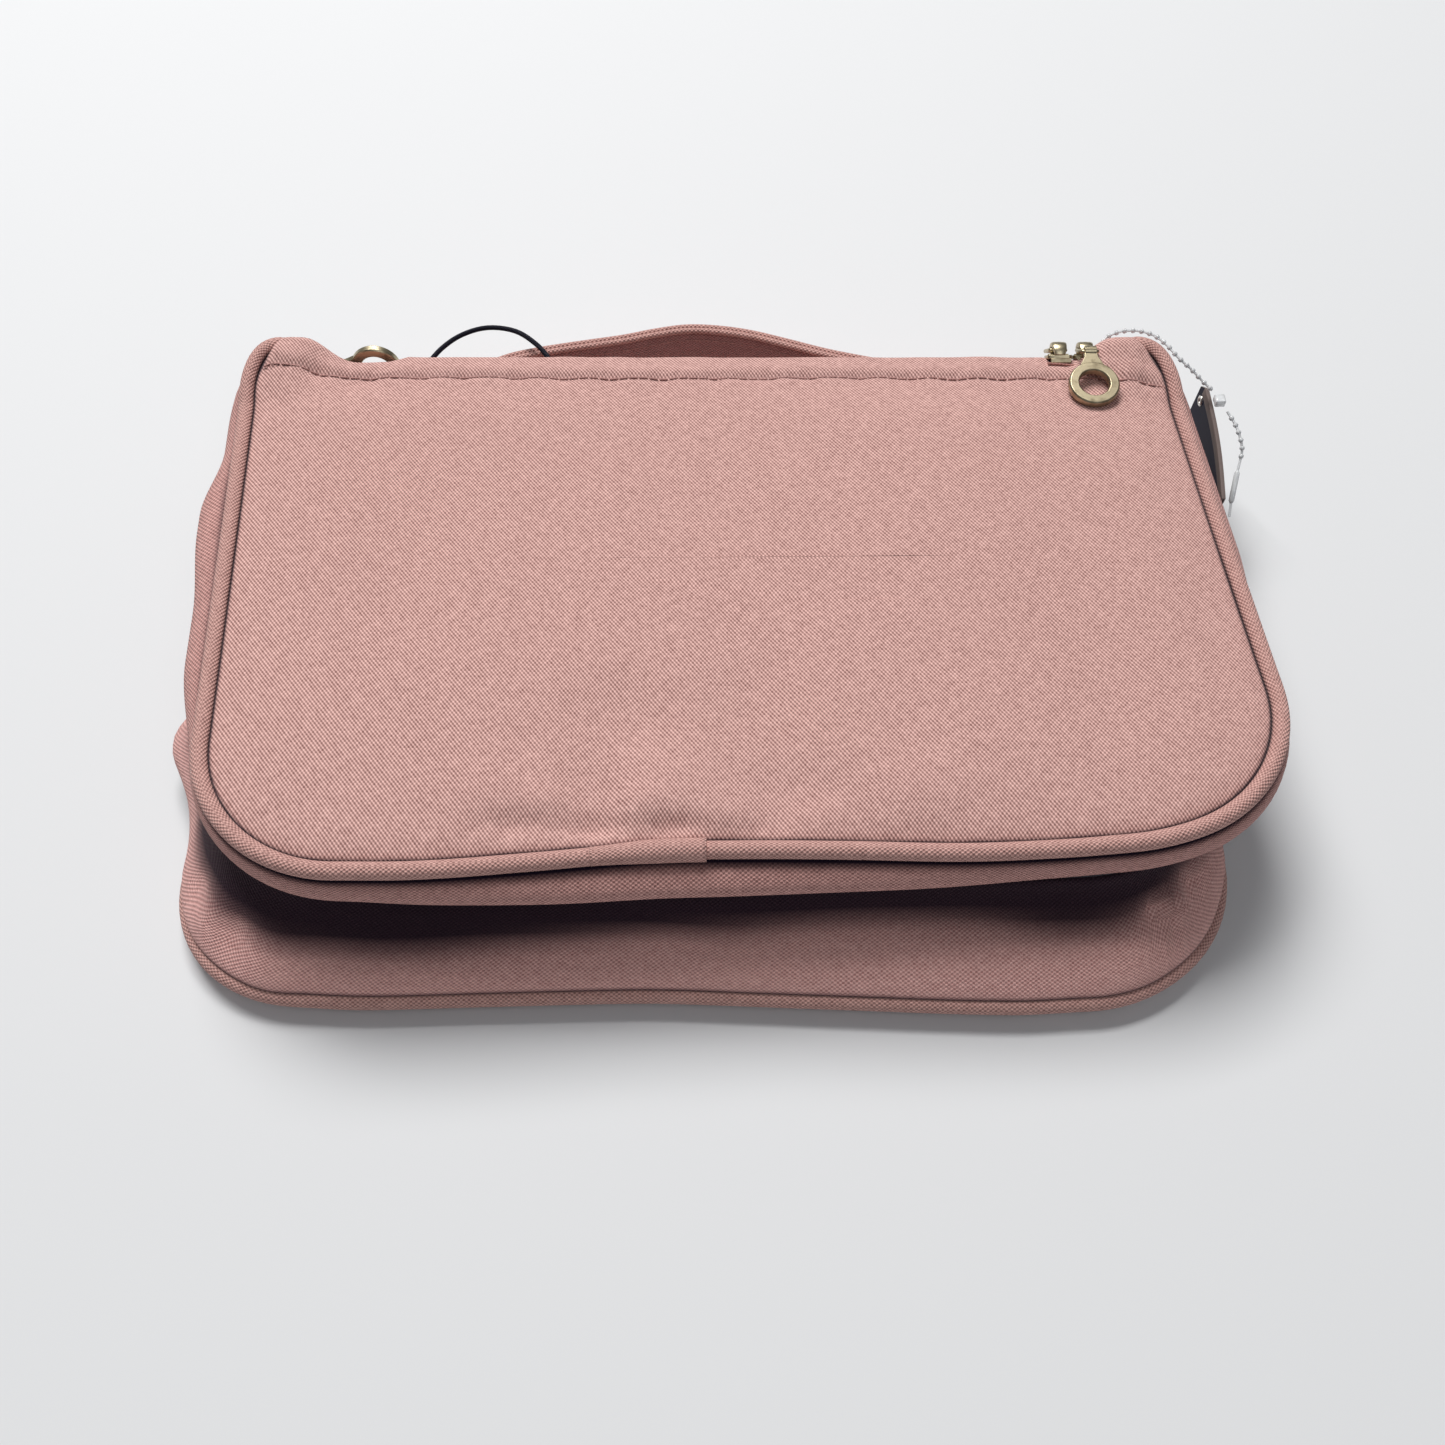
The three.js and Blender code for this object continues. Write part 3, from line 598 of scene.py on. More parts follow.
def stitches(name, path, body, pitch, long, r, slot="woven_pink"):
    """A row of lockstitches along a path that lies on the cloth."""
    path = [Vector(p) for p in path]
    s = lengths(path)
    starts = [i * pitch + 0.4 for i in range(int(s[-1] / pitch))]
    parts = [capsule(at_distance(path, s, d), at_distance(path, s, d + long), r) for d in starts]
    return piece(join_meshes(name, parts, MAT["thread"]), body, slot)


make_camera()
make_materials()
make_floor()
make_lights()


# The free cords: the elastic loop on the spine and the tag's beaded loop

def free_cord(name, node, points, diameter, look, body, slot):
    """A cord's round curve, its dense path and its length in metres."""
    data = bpy.data.curves.new(name, "CURVE")
    data.dimensions = "3D"
    data.bevel_depth = diameter * MM / 2
    data.bevel_resolution = 4
    data.use_fill_caps = True
    dense = catmull(points, 5)
    spline = data.splines.new("POLY")
    spline.points.add(len(dense) - 1)
    for p, q in zip(spline.points, dense):
        p.co = (*(q * MM), 1)
    data.materials.append(MAT[look])
    obj = bpy.data.objects.new(name, data)
    bpy.context.scene.collection.objects.link(obj)
    piece(obj, body, slot, node)
    return obj, dense, lengths(dense)[-1] * MM


ELASTIC = [
    (-95, 98.8, 38.6), (-94, 103, 38.8), (-90, 111, 39), (-84, 117.5, 39), (-76, 120.6, 39.2),
    (-67, 118.6, 39.6), (-60, 112.6, 39.8), (-55, 105.5, 39.6), (-52.5, 98.8, 39.2),
]
TAG_LOOP = [
    (118.2, 102.9, 49.6), (120.6, 104.2, 50.6), (124.5, 105.4, 51.2), (129.5, 105.4, 51.4),
    (134.4, 103.6, 51), (138, 100, 50.2), (140.4, 96.8, 49.2), (142.9, 95.0, 47.8), (145.2, 93.8, 46.4),
    (147.6, 92.4, 44.6), (150.2, 90.8, 42.8), (152.2, 89.4, 41.7),
]
TAG_TAIL = [
    (156.9, 84, 37.9), (159.2, 80.6, 36), (160.2, 77.9, 34.8), (161, 75.6, 33.2), (161.4, 73.8, 31.5),
    (161.1, 71.9, 29.5), (160.2, 68.8, 27), (159.1, 65.3, 24.5), (158.4, 61.3, 21.5), (158, 57.8, 18.5),
]


def sphere(centre, r, sides=8, rows=5):
    pts, faces = [Vector(centre) + Vector((0, 0, r))], []
    for j in range(1, rows):
        a = math.pi * j / rows
        pts += [Vector(centre) + r * Vector((math.sin(a) * cos, math.sin(a) * sin, math.cos(a)))
                for sin, cos in circle(sides)]
    pts.append(Vector(centre) - Vector((0, 0, r)))
    for k in range(sides):
        l = (k + 1) % sides
        faces.append((0, 1 + k, 1 + l))
        for j in range(rows - 2):
            a = 1 + j * sides
            faces.append((a + k, a + sides + k, a + sides + l, a + l))
        a = 1 + (rows - 2) * sides
        faces.append((a + l, a + k, len(pts) - 1))
    return pts, faces


def beads(name, dense, pitch, share=1.0):
    """Beads along a share of a cord."""
    s = lengths(dense)
    parts, d = [], pitch
    while d < s[-1] * share - 0.5:
        parts.append(sphere(at_distance(dense, s, d), 0.85))
        d += pitch
    return join_meshes(name, parts, MAT["clear"])


def make_cords():
    cord, _, length = free_cord("elastic_cord", "elastic_loop", ELASTIC, 1.6, "elastic", "base",
                                "black_elastic")

    loop, dense, length = free_cord("tag_string", "tag_loop", TAG_LOOP, 0.8, "clear", "lid", "clear_plastic")
    loop_beads = piece(beads("tag_string_beads", dense, 2.6), "lid", "clear_plastic")
    lock = rounded_box("tag_string_lock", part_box("tag_lock"), 0.5 * MM, MAT["clear"])
    piece(lock, "lid", "clear_plastic", "tag_lock")

    tail, dense, length = free_cord("tag_string_tail", "tag_loop_tail", TAG_TAIL, 0.8, "clear", "lid",
                                    "clear_plastic")
    tail_beads = piece(beads("tag_string_tail_beads", dense, 2.5, 0.52), "lid", "clear_plastic")
    tip = join_meshes("tag_string_tip", [capsule(TAG_TAIL[6], TAG_TAIL[8], 0.85, 10)], MAT["clear"])
    piece(tip, "lid", "clear_plastic")


def bevel(obj, width, segments=3):
    mod = obj.modifiers.new("edges", "BEVEL")
    mod.width = width
    mod.segments = segments
    mod.limit_method = "ANGLE"
    mod.angle_limit = math.radians(35)
    return obj


def rounded_box(name, box, radius, material):
    (x0, y0, z0), (x1, y1, z1) = box
    pts = [(x, y, z) for z in (z0, z1) for x, y in ((x0, y0), (x1, y0), (x1, y1), (x0, y1))]
    faces = [(0, 3, 2, 1), (4, 5, 6, 7), (0, 1, 5, 4), (1, 2, 6, 5), (2, 3, 7, 6), (3, 0, 4, 7)]
    return bevel(mesh_object(name, pts, faces, material), radius)


make_cords()


# The base tray

def mix_outline(t, foot, top):
    """The outline a share of the way from the foot's to the top's."""
    out = dict(foot)
    for key in ("half", "near", "far", "r_far", "shear", "shift"):
        out[key] = foot[key] + (top[key] - foot[key]) * t
    out["r_near"] = tuple(a + (b - a) * t for a, b in zip(foot["r_near"], top["r_near"]))
    out["bend"] = [(x, blend_points(foot["bend"], x) * (1 - t) + blend_points(top["bend"], x) * t)
                   for x in range(-145, 146, 10)]
    return out


# Creases and ridges of the tray's wall: place, width and depth
CREASES = [(-127, -84, 4.0, 2.2), (-139, -70, 4, 2.2), (113, -80, 3.6, 4.2), (123, -70, 3.2, 2.4)]
RIDGES = [(-133, -78, 4.0, 2.6), (-118, -90, 7, 1.4), (106, -87, 6, 2.0), (118, -75, 3.2, 3.0),
          (129, -62, 7, 1.6)]


def base_fold(x, y, t, z):
    """Outward displacement of the side wall: a soft belly, creases at the near corners, a left bulge."""
    rise = min(max((z - 4.6) / 21.8, 0), 1)
    full, low = math.sin(math.pi * t), math.sin(math.pi * rise ** 0.7)
    near = smooth01((-66 - y) / 26)
    belly = 5.0 - 4.0 * smooth01(x / 40) - 2.6 * smooth01((-35 - y) / 25) * smooth01(-x / 40)
    out = belly * low * (1 - near) * smooth01((70 - y) / 40) + 1.2 * low * near
    out += 0.9 * ripple(x, y + 40 * t, 34, 3.0) * full
    out += 10.0 * bell(x, y, -146, -22, 14, 14) * low
    for cx, cy, w, deep in CREASES:
        out -= deep * bell(x, y, cx, cy, w, w) * math.sin(math.pi * rise ** 1.3)
    for cx, cy, w, high in RIDGES:
        out += high * bell(x, y, cx, cy, w, w) * math.sin(math.pi * rise)
    return out + 0.8 * math.sin(x / 15.0 + 2.2 * t + 2 * ripple(x, 0, 40)) * full * near


def base_wall_ring(t, z, by=0.0, step=3.0):
    foot, top = inset(BASE, PIPE_R - 1.5), RIM
    flat = ring_rail(inset(mix_outline(t, foot, top), by), step)
    n = len(flat)
    ring = []
    for i, (x, y) in enumerate(flat):
        a, b = flat[i - 1], flat[(i + 1) % n]
        normal = Vector((b[1] - a[1], a[0] - b[0], 0)).normalized()
        far = smooth01((y - 80) / 12)
        d = base_fold(x, y, t, z) * (1 - 0.85 * far)
        ring.append((x + normal.x * d, y + normal.y * d, z + 0.7 * ripple(x, y, 50, 8) * t))
    return ring


def shadow_under_lid(t, x, y):
    """How dark the painted shadow is on the tray's wall where it turns in beneath the lid."""
    start = 0.36 + 0.14 * math.sin(x / 38.0 + 0.6) * smooth01((-60 - y) / 20) + 0.25 * smooth01((x - 85) / 40)
    return 0.97 * smooth01((t - start) / 0.38) * smooth01((30 - y) / 50)


def make_base():
    # share of the way in to the rim, and height: the wall turns in like a shelf below the zip
    steps = [(0, 6.4), (0.01, 7.6), (0.014, 8.4), (0.02, 9.2), (0.035, 10.0), (0.09, 11.4), (0.19, 13.4),
             (0.32, 15.3), (0.46, 17.0), (0.6, 18.5), (0.74, 20.0), (0.86, 21.6), (0.94, 23.4), (0.98, 25.2),
             (1.0, 26.4)]
    seam_shade = (1.0, 1.0, 0.95, 0.45)  # painted shade of the lowest rings, in the seams beside the piping
    rings = [base_wall_ring(t, z) for t, z in steps]
    rings.append(base_wall_ring(1.0, 26.9, 0.9))
    rings.append(base_wall_ring(1.0, 26.3, 1.9))
    rings.append(base_wall_ring(0.9, 22.4, 2.0))
    share = [t for t, _ in steps] + [1.0] * 3
    # Painted shade: the wall darkens in the seams beside the piping and in the shadow beneath the lid.
    wall = loft("base_gusset_cloth", rings, MAT["strip"], closed_along=True,
                shade=lambda j, p: max(shadow_under_lid(share[j], p.x, p.y), seam_shade[j] if j < len(seam_shade) else 0))
    piece(wall, "base", "woven_pink", "base_gusset")

    pipe_path = [(x, y, 6.0) for x, y in ring_rail(BASE, 4.0)]
    piping = tube("base_piping_cloth", pipe_path, PIPE_R, MAT["piping"], 16, closed=True)
    piece(piping, "base", "piping_pink", "base_piping")

    skin = [(92, 0.0), (66, 0.0), (44, 0.0), (24, 0.05), (15, 0.6), (9, 1.7), (5, 3.0), (2.5, 4.2),
            (1.6, 5.2), (2.4, 6.0), (8, 5.6), (40, 5.4), (66, 5.3), (92, 5.2)]
    rings = [[(x, y, z) for x, y in ring_rail(inset(BASE, by))] for by, z in skin]
    back = closed_skin("base_panel_cloth", rings, MAT["panel"])
    piece(back, "base", "woven_pink", "base_panel")


def close_pole(obj, n, row):
    """Fills the first or last ring of a loft with one face."""
    bm = bmesh.new()
    bm.from_mesh(obj.data)
    bm.verts.ensure_lookup_table()
    loop = [bm.verts[row * n + i] for i in range(n)]
    shared = bm.edges.get(loop[:2]).link_loops[0]
    if shared.vert == loop[0]:
        loop.reverse()
    bm.faces.new(loop).smooth = True
    bm.normal_update()
    bm.to_mesh(obj.data)
    bm.free()


def flat_uv(obj):
    """Cloth coordinates straight from X and Y, in millimetres."""
    mesh = obj.data
    layer = mesh.uv_layers["cloth"]
    for loop in mesh.loops:
        co = mesh.vertices[loop.vertex_index].co
        layer.data[loop.index].uv = (co.x / MM, co.y / MM)


def closed_skin(name, rings, material):
    """A loft through closed rings, with a face over its first and last ring."""
    obj = loft(name, rings, material, closed_along=True)
    close_pole(obj, len(rings[0]), 0)
    close_pole(obj, len(rings[0]), len(rings) - 1)
    flat_uv(obj)
    return obj


def make_base_lining():
    # share of the way in to the rim, height and inset, then the floor's insets
    steps = [(1.0, 25.9, 2.4), (0.9, 21.4, 3.0), (0.6, 16.6, 3.4), (0.25, 12.2, 3.8), (0.06, 8.6, 5.0),
             (0.0, 6.9, 9.0)]
    rings = [base_wall_ring(t, z, by) for t, z, by in steps]
    rings += [[(x, y, 6.4 + 0.5 * ripple(x, y, 22, 5)) for x, y, _ in base_wall_ring(0.0, 6.4, by)]
              for by in (24, 44, 66, 92)]
    lining = loft("base_lining_cloth", rings, MAT["lining"], closed_along=True)
    close_pole(lining, len(rings[0]), len(rings) - 1)
    piece(lining, "base", "dark_lining", "base_lining")


# The lid

def ear(x, y):
    """0 to 1 over the far corners, which stand up as rounded lobes. Flat outline coordinates."""
    return smooth01((y - 78) / 16) * smooth01((abs(x) - 110) / 18)


def crest_share(x, y):
    """0 to 1 where the panel runs on over the hinge; a little less between there and both lobes."""
    middle = 1 - 0.38 * smooth01((abs(x + LID["shift"] - 1) - 99) / 6)
    return smooth01((y - 84) / 9) * middle * (1 - smooth01((abs(x) - 118) / 10))


def hem_y(x):
    """Where the stitch row runs, by world X: straight along the crest, drooping at both lobes."""
    return 90.2 + 2.4 * smooth01((-118 - x) / 22) - 5.2 * smooth01((x - 100) / 40) + 0.35 * math.sin(x / 17.0)


def hem_profile(x, y):
    """The stitched hem: a groove along the row, a soft roll behind it and small puckers."""
    row = hem_y(x)
    groove = -0.8 * math.exp(-((y - row) / 1.0) ** 2)
    swell = 0.7 * math.exp(-((y - row - 3.6) / 2.4) ** 2)
    pucker = 0.5 * math.sin(x / 2.4 + 2.4 * ripple(x, 0, 9)) * math.exp(-((y - row) / 3.2) ** 2)
    return groove + swell + pucker


# Slack folds of the panel that run from the near edge into the middle, and tight creases beside the
# piping's wrap: place, widths along X and Y, and height
FOLDS = [(-58, -61, 14, 9, 1.3), (-34, -60, 9, 12, -1.8), (-12, -62, 10, 8, 1.2), (20, -60, 13, 10, -1.5),
         (48, -60, 12, 9, 1.2), (-24, -38, 17, 13, -1.7), (6, -40, 13, 17, -1.3), (-64, -32, 28, 26, 0.9),
         (62, -36, 34, 26, 0.8)]
PUCKERS = [(-52, -69, 8, 3.6, -1.5), (-44, -63, 7, 4, 1.1), (-32, -70, 6, 3.4, -1.9), (-21, -64, 5, 5, 1.4),
           (-12, -70, 5, 3.2, -1.7), (0, -66, 6, 5, 1.0), (10, -71, 5, 3, -1.0), (24, -66, 7, 4, 0.9)]
LOBE_CREASES = [(-124.5, 93, 2.6, 6, -1.3), (-114, 88, 8, 3, -0.8), (121, 90, 3, 6, -1.1),
                (131, 92, 2.4, 5, -0.7)]


def bumps(rows, x, y):
    return sum(high * bell(x, y, cx, cy, wx, wy) for cx, cy, wx, wy, high in rows)


def panel_height(by, x, y, crest):
    """Height of the panel's face by inset from the outline and world position."""
    gap = by - PANEL_INSET + 6 * crest
    rise = 2.7 * (1 - (1 - min(gap, 28) / 28) ** 2)
    lip = 1.55 * (1 - math.exp(-gap / 1.5))
    z = 43.7 + lip + rise - 0.5 * crest
    broad = 1.5 * noise.noise(Vector((x / 62, y / 95, 1.7)))
    z += smooth01(gap / 22) * (broad + 0.6 * noise.noise(Vector((x / 27, y / 44, 4.2))))
    z += smooth01(gap / 7) * bumps(FOLDS, x, y) + smooth01(gap / 5) * bumps(PUCKERS, x, y)
    z += 0.28 * math.sin(x / 3.4 + 3 * ripple(x, y, 16)) * math.exp(-gap / 4) * smooth01((-40 - y) / 20)
    z += bumps(LOBE_CREASES, x, y)
    return z + hem_profile(x, y) * smooth01(gap / 2.5)


PANEL_INSET = 1.9
PANEL_STEPS = [1.9, 2.2, 2.6, 3.1, 3.7, 4.4, 5.0, 5.6, 6.2, 6.8, 7.4, 8.0, 8.6, 9.2, 9.8, 10.8, 12.2, 14, 16]
# Beyond the edge: how far out and down on the far side, then on the sides beneath the piping
PANEL_SKIRT = [(0.8, 0.3, 0.3, 0.5), (1.5, 0.9, 0.5, 1.0), (2.1, 1.9, 0.6, 1.4), (2.4, 3.3, 0.6, 1.7),
               (2.3, 5.2, 0.5, 2.0)]


def panel_ring(by, skirt=(0, 0, 0, 0)):
    out_far, down_far, out_side, down_side = skirt
    ring = []
    for x, y in ring_rail(inset(LID, by), 3.0, flat=True):
        px, py = lean(LID, x, y)
        crest, lobe = crest_share(x, y), ear(x, y)
        far = smooth01((y - 86) / 7) * (1 - smooth01((abs(x) - 133) / 5))
        py += 5.6 * crest + LOBE_OUT * lobe * lobe + 2.2 * lobe * far
        if any(skirt):
            wavy = 1 + 0.5 * ripple(x, 0, 13, 21)
            py += far * out_far * wavy + (1 - far) * out_side * (-1 if y < -60 else 0)
            px += (1 - far) * out_side * (1 if x > 0 else -1) * (abs(x) > 100)
        z = panel_height(by, px, py - far * out_far, crest) + LOBE_UP * lobe + 2.4 * lobe * far
        ring.append((px, py, z - far * down_far - (1 - far) * down_side))
    return ring


def panel_shade(by, p):
    """Painted shade in the groove beside the piping, and faint painted shade along the stitched row."""
    beside = 1 - smooth01((p.y - 93) / 4) * (1 - smooth01((abs(p.x + 4) - 134) / 4))
    seam_shade = 0.95 * (1 - smooth01((by - 2.5) / 0.9)) * beside
    row = 0.32 * math.exp(-((p.y - hem_y(p.x)) / 0.6) ** 2)
    return max(seam_shade, row)


def make_front_panel():
    steps = PANEL_STEPS + list(range(19, 80, 3))
    rings = [panel_ring(PANEL_INSET, skirt) for skirt in reversed(PANEL_SKIRT)]
    rings += [panel_ring(by) for by in steps]
    insets = [PANEL_INSET - 0.5] * len(PANEL_SKIRT) + steps
    panel = loft("front_panel_cloth", rings, MAT["panel"], closed_along=True,
                 shade=lambda j, p: panel_shade(insets[j], p))
    close_pole(panel, len(rings[0]), len(rings) - 1)
    flat_uv(panel)
    row = []
    bvh = BVHTree.FromObject(panel, bpy.context.evaluated_depsgraph_get())
    for i in range(141):
        x = -141.5 + 280 * i / 140
        y = hem_y(x)
        hit = bvh.ray_cast(Vector((x, y, 80)) * MM, Vector((0, 0, -1)))[0]
        if hit is not None:
            row.append((x, y, hit.z / MM + 0.22))
    thicken(panel, 2.2, -1)
    piece(panel, "lid", "woven_pink", "front_panel")
    stitches("hem_stitches", row, "lid", pitch=3.1, long=2.3, r=0.27)


BAND_MIDDLE = [(-125, 0), (-94, 0.6), (-66, 2.2), (-30, 4.6), (-2, 4.9), (36, 3.0), (79, 0.4), (120, 0)]


def band_swell(x, y):
    """How far the lid's side band bellies out: fullest at the middle of the near edge and on the left."""
    near = smooth01((-50 - y) / 20) * blend_points(BAND_MIDDLE, x)
    left = 6.0 * smooth01((y + 52) / 40) + 2.4 * smooth01((y - 5) / 30) - 5.0 * smooth01((y - 42) / 26)
    side = left if x < 0 else 3.2 * smooth01((y + 10) / 40)
    return near + side * (1 - 0.6 * smooth01((y - 78) / 18))


def lid_ring(by, z, swell=0.0, step=3.0):
    """The lid's outline at an inset and a height, bellied out, its far corners lifted towards the ears."""
    flat = rail(inset(LID, by), SPINE_HALF + 0.6, step, flat=True)
    pts = []
    for i, (x, y) in enumerate(flat):
        a, b = flat[max(i - 1, 0)], flat[min(i + 1, len(flat) - 1)]
        normal = Vector((b[1] - a[1], a[0] - b[0], 0)).normalized()
        px, py = lean(LID, x, y)
        out = swell * band_swell(px, py)
        lobe, part = ear(x, y), min(max((z - 32) / 11, 0), 1)
        rise = 1.8 * smooth01((abs(px + 6) - 40) / 45) * smooth01((-50 - y) / 20) * smooth01((38 - z) / 5)
        pts.append((px + normal.x * out, py + normal.y * out + LOBE_OUT * lobe * lobe * part,
                    z + rise + LOBE_UP * lobe * part + 0.25 * ripple(x, y, 45, 6.0)))
    return pts


def make_lid_gusset():
    # inset, height, share of the belly, painted shade
    profile = [(1.2, 43.0, 0, 1), (-0.9, 42.3, 0, 1), (-1.9, 41.8, 0.05, 1), (-2.5, 41.5, 0.15, 0.6),
               (-2.9, 41.1, 0.25, 0.15), (-3.3, 40.5, 0.42, 0), (-3.8, 39.0, 0.72, 0), (-4.0, 37.2, 0.95, 0),
               (-3.8, 35.5, 1.0, 0), (-3.2, 34.1, 0.95, 0), (-2.2, 33.1, 0.8, 0.1), (-0.8, 32.6, 0.5, 0.6),
               (0.4, 33.4, 0.2, 0.9), (0.8, 36.5, 0, 0.9), (1.8, 41.0, 0, 0.9)]
    rings = [lid_ring(by, z, swell) for by, z, swell, _ in profile]
    band = loft("lid_gusset_cloth", rings, MAT["side"], closed_across=True, caps=True,
                shade=lambda j, p: profile[j][3])
    piece(band, "lid", "woven_pink", "lid_gusset")


def piping_path(side):
    """Half of the front piping, from the near wrap round to the curled far corner."""
    keep = []
    for x, y in rail(LID, LID["half"] - LID["r_far"] - 1, 4.0, flat=True):
        px, py = lean(LID, x, y)
        if y > 90 and abs(x) < 134:
            continue
        near, lobe = y < LID["near"] + 8, ear(x, y)
        left = px < WRAP_X[0] - 3 if near else x < 0
        right = px > WRAP_X[1] + 3 if near else x > 0
        if left if side == "left" else right:
            z = LID_PIPE_Z + 0.35 * ripple(x, y, 40, 2) + LOBE_UP * lobe
            keep.append((px, py + LOBE_OUT * lobe * lobe, z))
    return keep if side == "right" else keep[::-1]


def near_edge(x):
    """A point of the near edge's centre line at a world X."""
    flat = x - LID["shift"] - LID["shear"] * (LID["far"] - LID["near"])
    return x, LID["near"] + blend_points(LID["bend"], flat), LID_PIPE_Z


def piping_shade(k):
    """Painted shade along both seams. k runs round the section from its top, a quarter turn being outwards.
    """
    inner = 1 - smooth01((abs(k - 0.73) - 0.035) / 0.05)
    outer = 1 - smooth01((abs(k - 0.42) - 0.05) / 0.05)
    return 0.95 * max(inner, outer)


CURL = [(2.0, 1.2, -1.6), (3.4, 1.0, -4.2), (4.0, 0.2, -7.4)]  # the piping's end, inwards and down


def make_front_piping():
    for side, end, inward in (("left", WRAP_X[0] + 6, 1), ("right", WRAP_X[1] - 4, -1)):
        path = piping_path(side)
        tip = Vector(path[-1])
        path += [tuple(tip + Vector((inward * dx, dy, dz))) for dx, dy, dz in CURL]
        dense = catmull([near_edge(end)] + path, 3)
        obj = tube(f"front_piping_{side}_cloth", dense, PIPE_R, MAT["piping"], 24,
                   shade=lambda k: piping_shade(-inward * k % 1))
        piece(obj, "lid", "piping_pink", f"front_piping_{side}")
    wrap = [near_edge(x) for x in spread(*WRAP_X, 24, first=0) + [WRAP_X[1]]]
    obj = tube("front_piping_wrap_cloth", wrap, lambda t: PIPE_R + 0.1 + 0.65 * smooth01(t * 1.6),
               MAT["piping"], 20)
    piece(obj, "lid", "piping_pink", "front_piping_wrap")


def make_spine():
    """The cloth from the tray's far wall up beneath the crest's hem."""
    profile = [(97.0, 24.0), (98.7, 27), (99.0, 32), (99.2, 37.5), (99.2, 40.3), (98.6, 42.0), (97.2, 43.0),
               (95.2, 43.2)]
    rings = []
    for p in catmull([(0, y, z) for y, z in profile], 3):
        ring = []
        for x in spread(-SPINE_HALF - 0.5, SPINE_HALF + 0.5, 100, first=0) + [SPINE_HALF + 0.5]:
            k = 0.5 * ripple(x, p.z, 26, 9.0)
            ring.append((x, p.y + k * 0.6, p.z + 0.3 * k))
        rings.append(ring)
    strip = loft("spine_cloth", rings, MAT["strip"])
    thicken(strip, 1.0, 0)
    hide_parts("spine_strip")
    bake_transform(strip)


make_base()
make_base_lining()
make_front_panel()
make_lid_gusset()
make_front_piping()
make_spine()


# The main zip: dark tapes in the recess with a coil along each

def band_ring(by, z, outline, step=3.0):
    return [(x, y, z) for x, y in rail(inset(outline, by), SPINE_HALF + 1.5, step)]


def zip_teeth(name, path, body, node):
    """Coil teeth across a tape's edge: one short bar each pitch."""
    path = [Vector(p) for p in path]
    s = lengths(path)
    up = Vector((0, 0, 0.75))
    parts, d = [], 0.8
    while d < s[-1]:
        p = at_distance(path, s, d)
        parts.append(capsule(p - up, p + up, 0.48, 5))
        d += 1.55
    return piece(join_meshes(name, parts, MAT["coil"]), body, "zip_dark", node)


def make_main_zip():
    lid_shell = inset(LID, PIPE_R - 0.4)
    base_section = [(1.0, 25.2), (0.9, 26.8), (1.3, 28.0), (1.6, 28.2), (1.9, 27.0)]
    lid_section = [(-0.5, 34.0), (0.2, 32.4), (0.9, 31.2), (1.3, 31.1), (1.9, 33.8)]
    for body, outline, section, teeth in (("base", RIM, base_section, (1.2, 28.6)),
                                          ("lid", lid_shell, lid_section, (0.6, 30.8))):
        rings = [band_ring(by, z, outline) for by, z in section]
        tape = loft(f"{body}_zip_tape_cloth", rings, MAT["tape"])
        piece(tape, body, "zip_dark", f"{body}_zip_tape")
        zip_teeth(f"{body}_zip_coil_teeth", band_ring(*teeth, outline, 2.0), body, f"{body}_zip_coil")


# Zip ends, sliders and pulls

TAILS = {
    "left": dict(x=(-137, -101), y=100.4, z=36.6, up=0.0),
    "right": dict(x=(101, 128.4), y=98.5, z=44.0, up=math.pi / 4),
}
# Each slider's place along its zip end, and how far its link and ring are turned, in degrees
SLIDERS = [
    dict(name="right_front", side="right", x=113, sideways=False, link=96, ring=145),
    dict(name="right_back", side="right", x=104.8, sideways=False, link=-90, ring=None),
    dict(name="left", side="left", x=-130.6, sideways=True, link=82, ring=90),
]


def tail_matrix(tail, x=0.0):
    return Matrix.Translation((x, tail["y"], tail["z"])) @ Matrix.Rotation(tail["up"], 4, "X")


def move(parts, matrix):
    return [([matrix @ Vector(p) for p in pts], faces) for pts, faces in parts]


def make_zip_tail(side):
    """The last run of the chain: a turned-over tape with its coil."""
    tail = TAILS[side]
    (a, b), place = tail["x"], tail_matrix(tail)
    profile = [(-0.6, -4.4), (-0.1, -4.5), (0.1, -2.6), (0.3, -2.3), (0.1, 0.0), (0.3, 2.3), (0.1, 2.6),
               (-0.1, 4.5), (-0.6, 4.4), (-0.75, 0.0)]
    rings = []
    for out, along in profile:
        rings.append([place @ Vector((x, out + 0.35 * math.sin(x / 3.1) * abs(along) / 4.4, along))
                      for x in spread(a, b, 24, first=0) + [b]])
    tape = loft(f"zip_end_{side}_tape", rings, MAT["fold"], closed_across=True, caps=True)
    piece(tape, "lid", "woven_pink", f"zip_end_{side}")
    parts, x = [], a + 1.0
    while x < b - 0.6:
        parts.append(capsule(place @ Vector((x, 0.7, -1.9)), place @ Vector((x, 0.7, 1.9)), 0.52, 6))
        x += 1.5
    piece(join_meshes(f"zip_end_{side}_teeth", parts, MAT["coil"]), "lid", "zip_dark")


def prism(outline, y0, y1):
    """A closed prism from an outline in (x, z), between two heights of y."""
    n = len(outline)
    pts = [(x, y0, z) for x, z in outline] + [(x, y1, z) for x, z in outline]
    faces = [tuple(range(n)), tuple(reversed(range(n, 2 * n)))]
    faces += [(i, n + i, n + (i + 1) % n, (i + 1) % n) for i in range(n)]
    return pts, faces


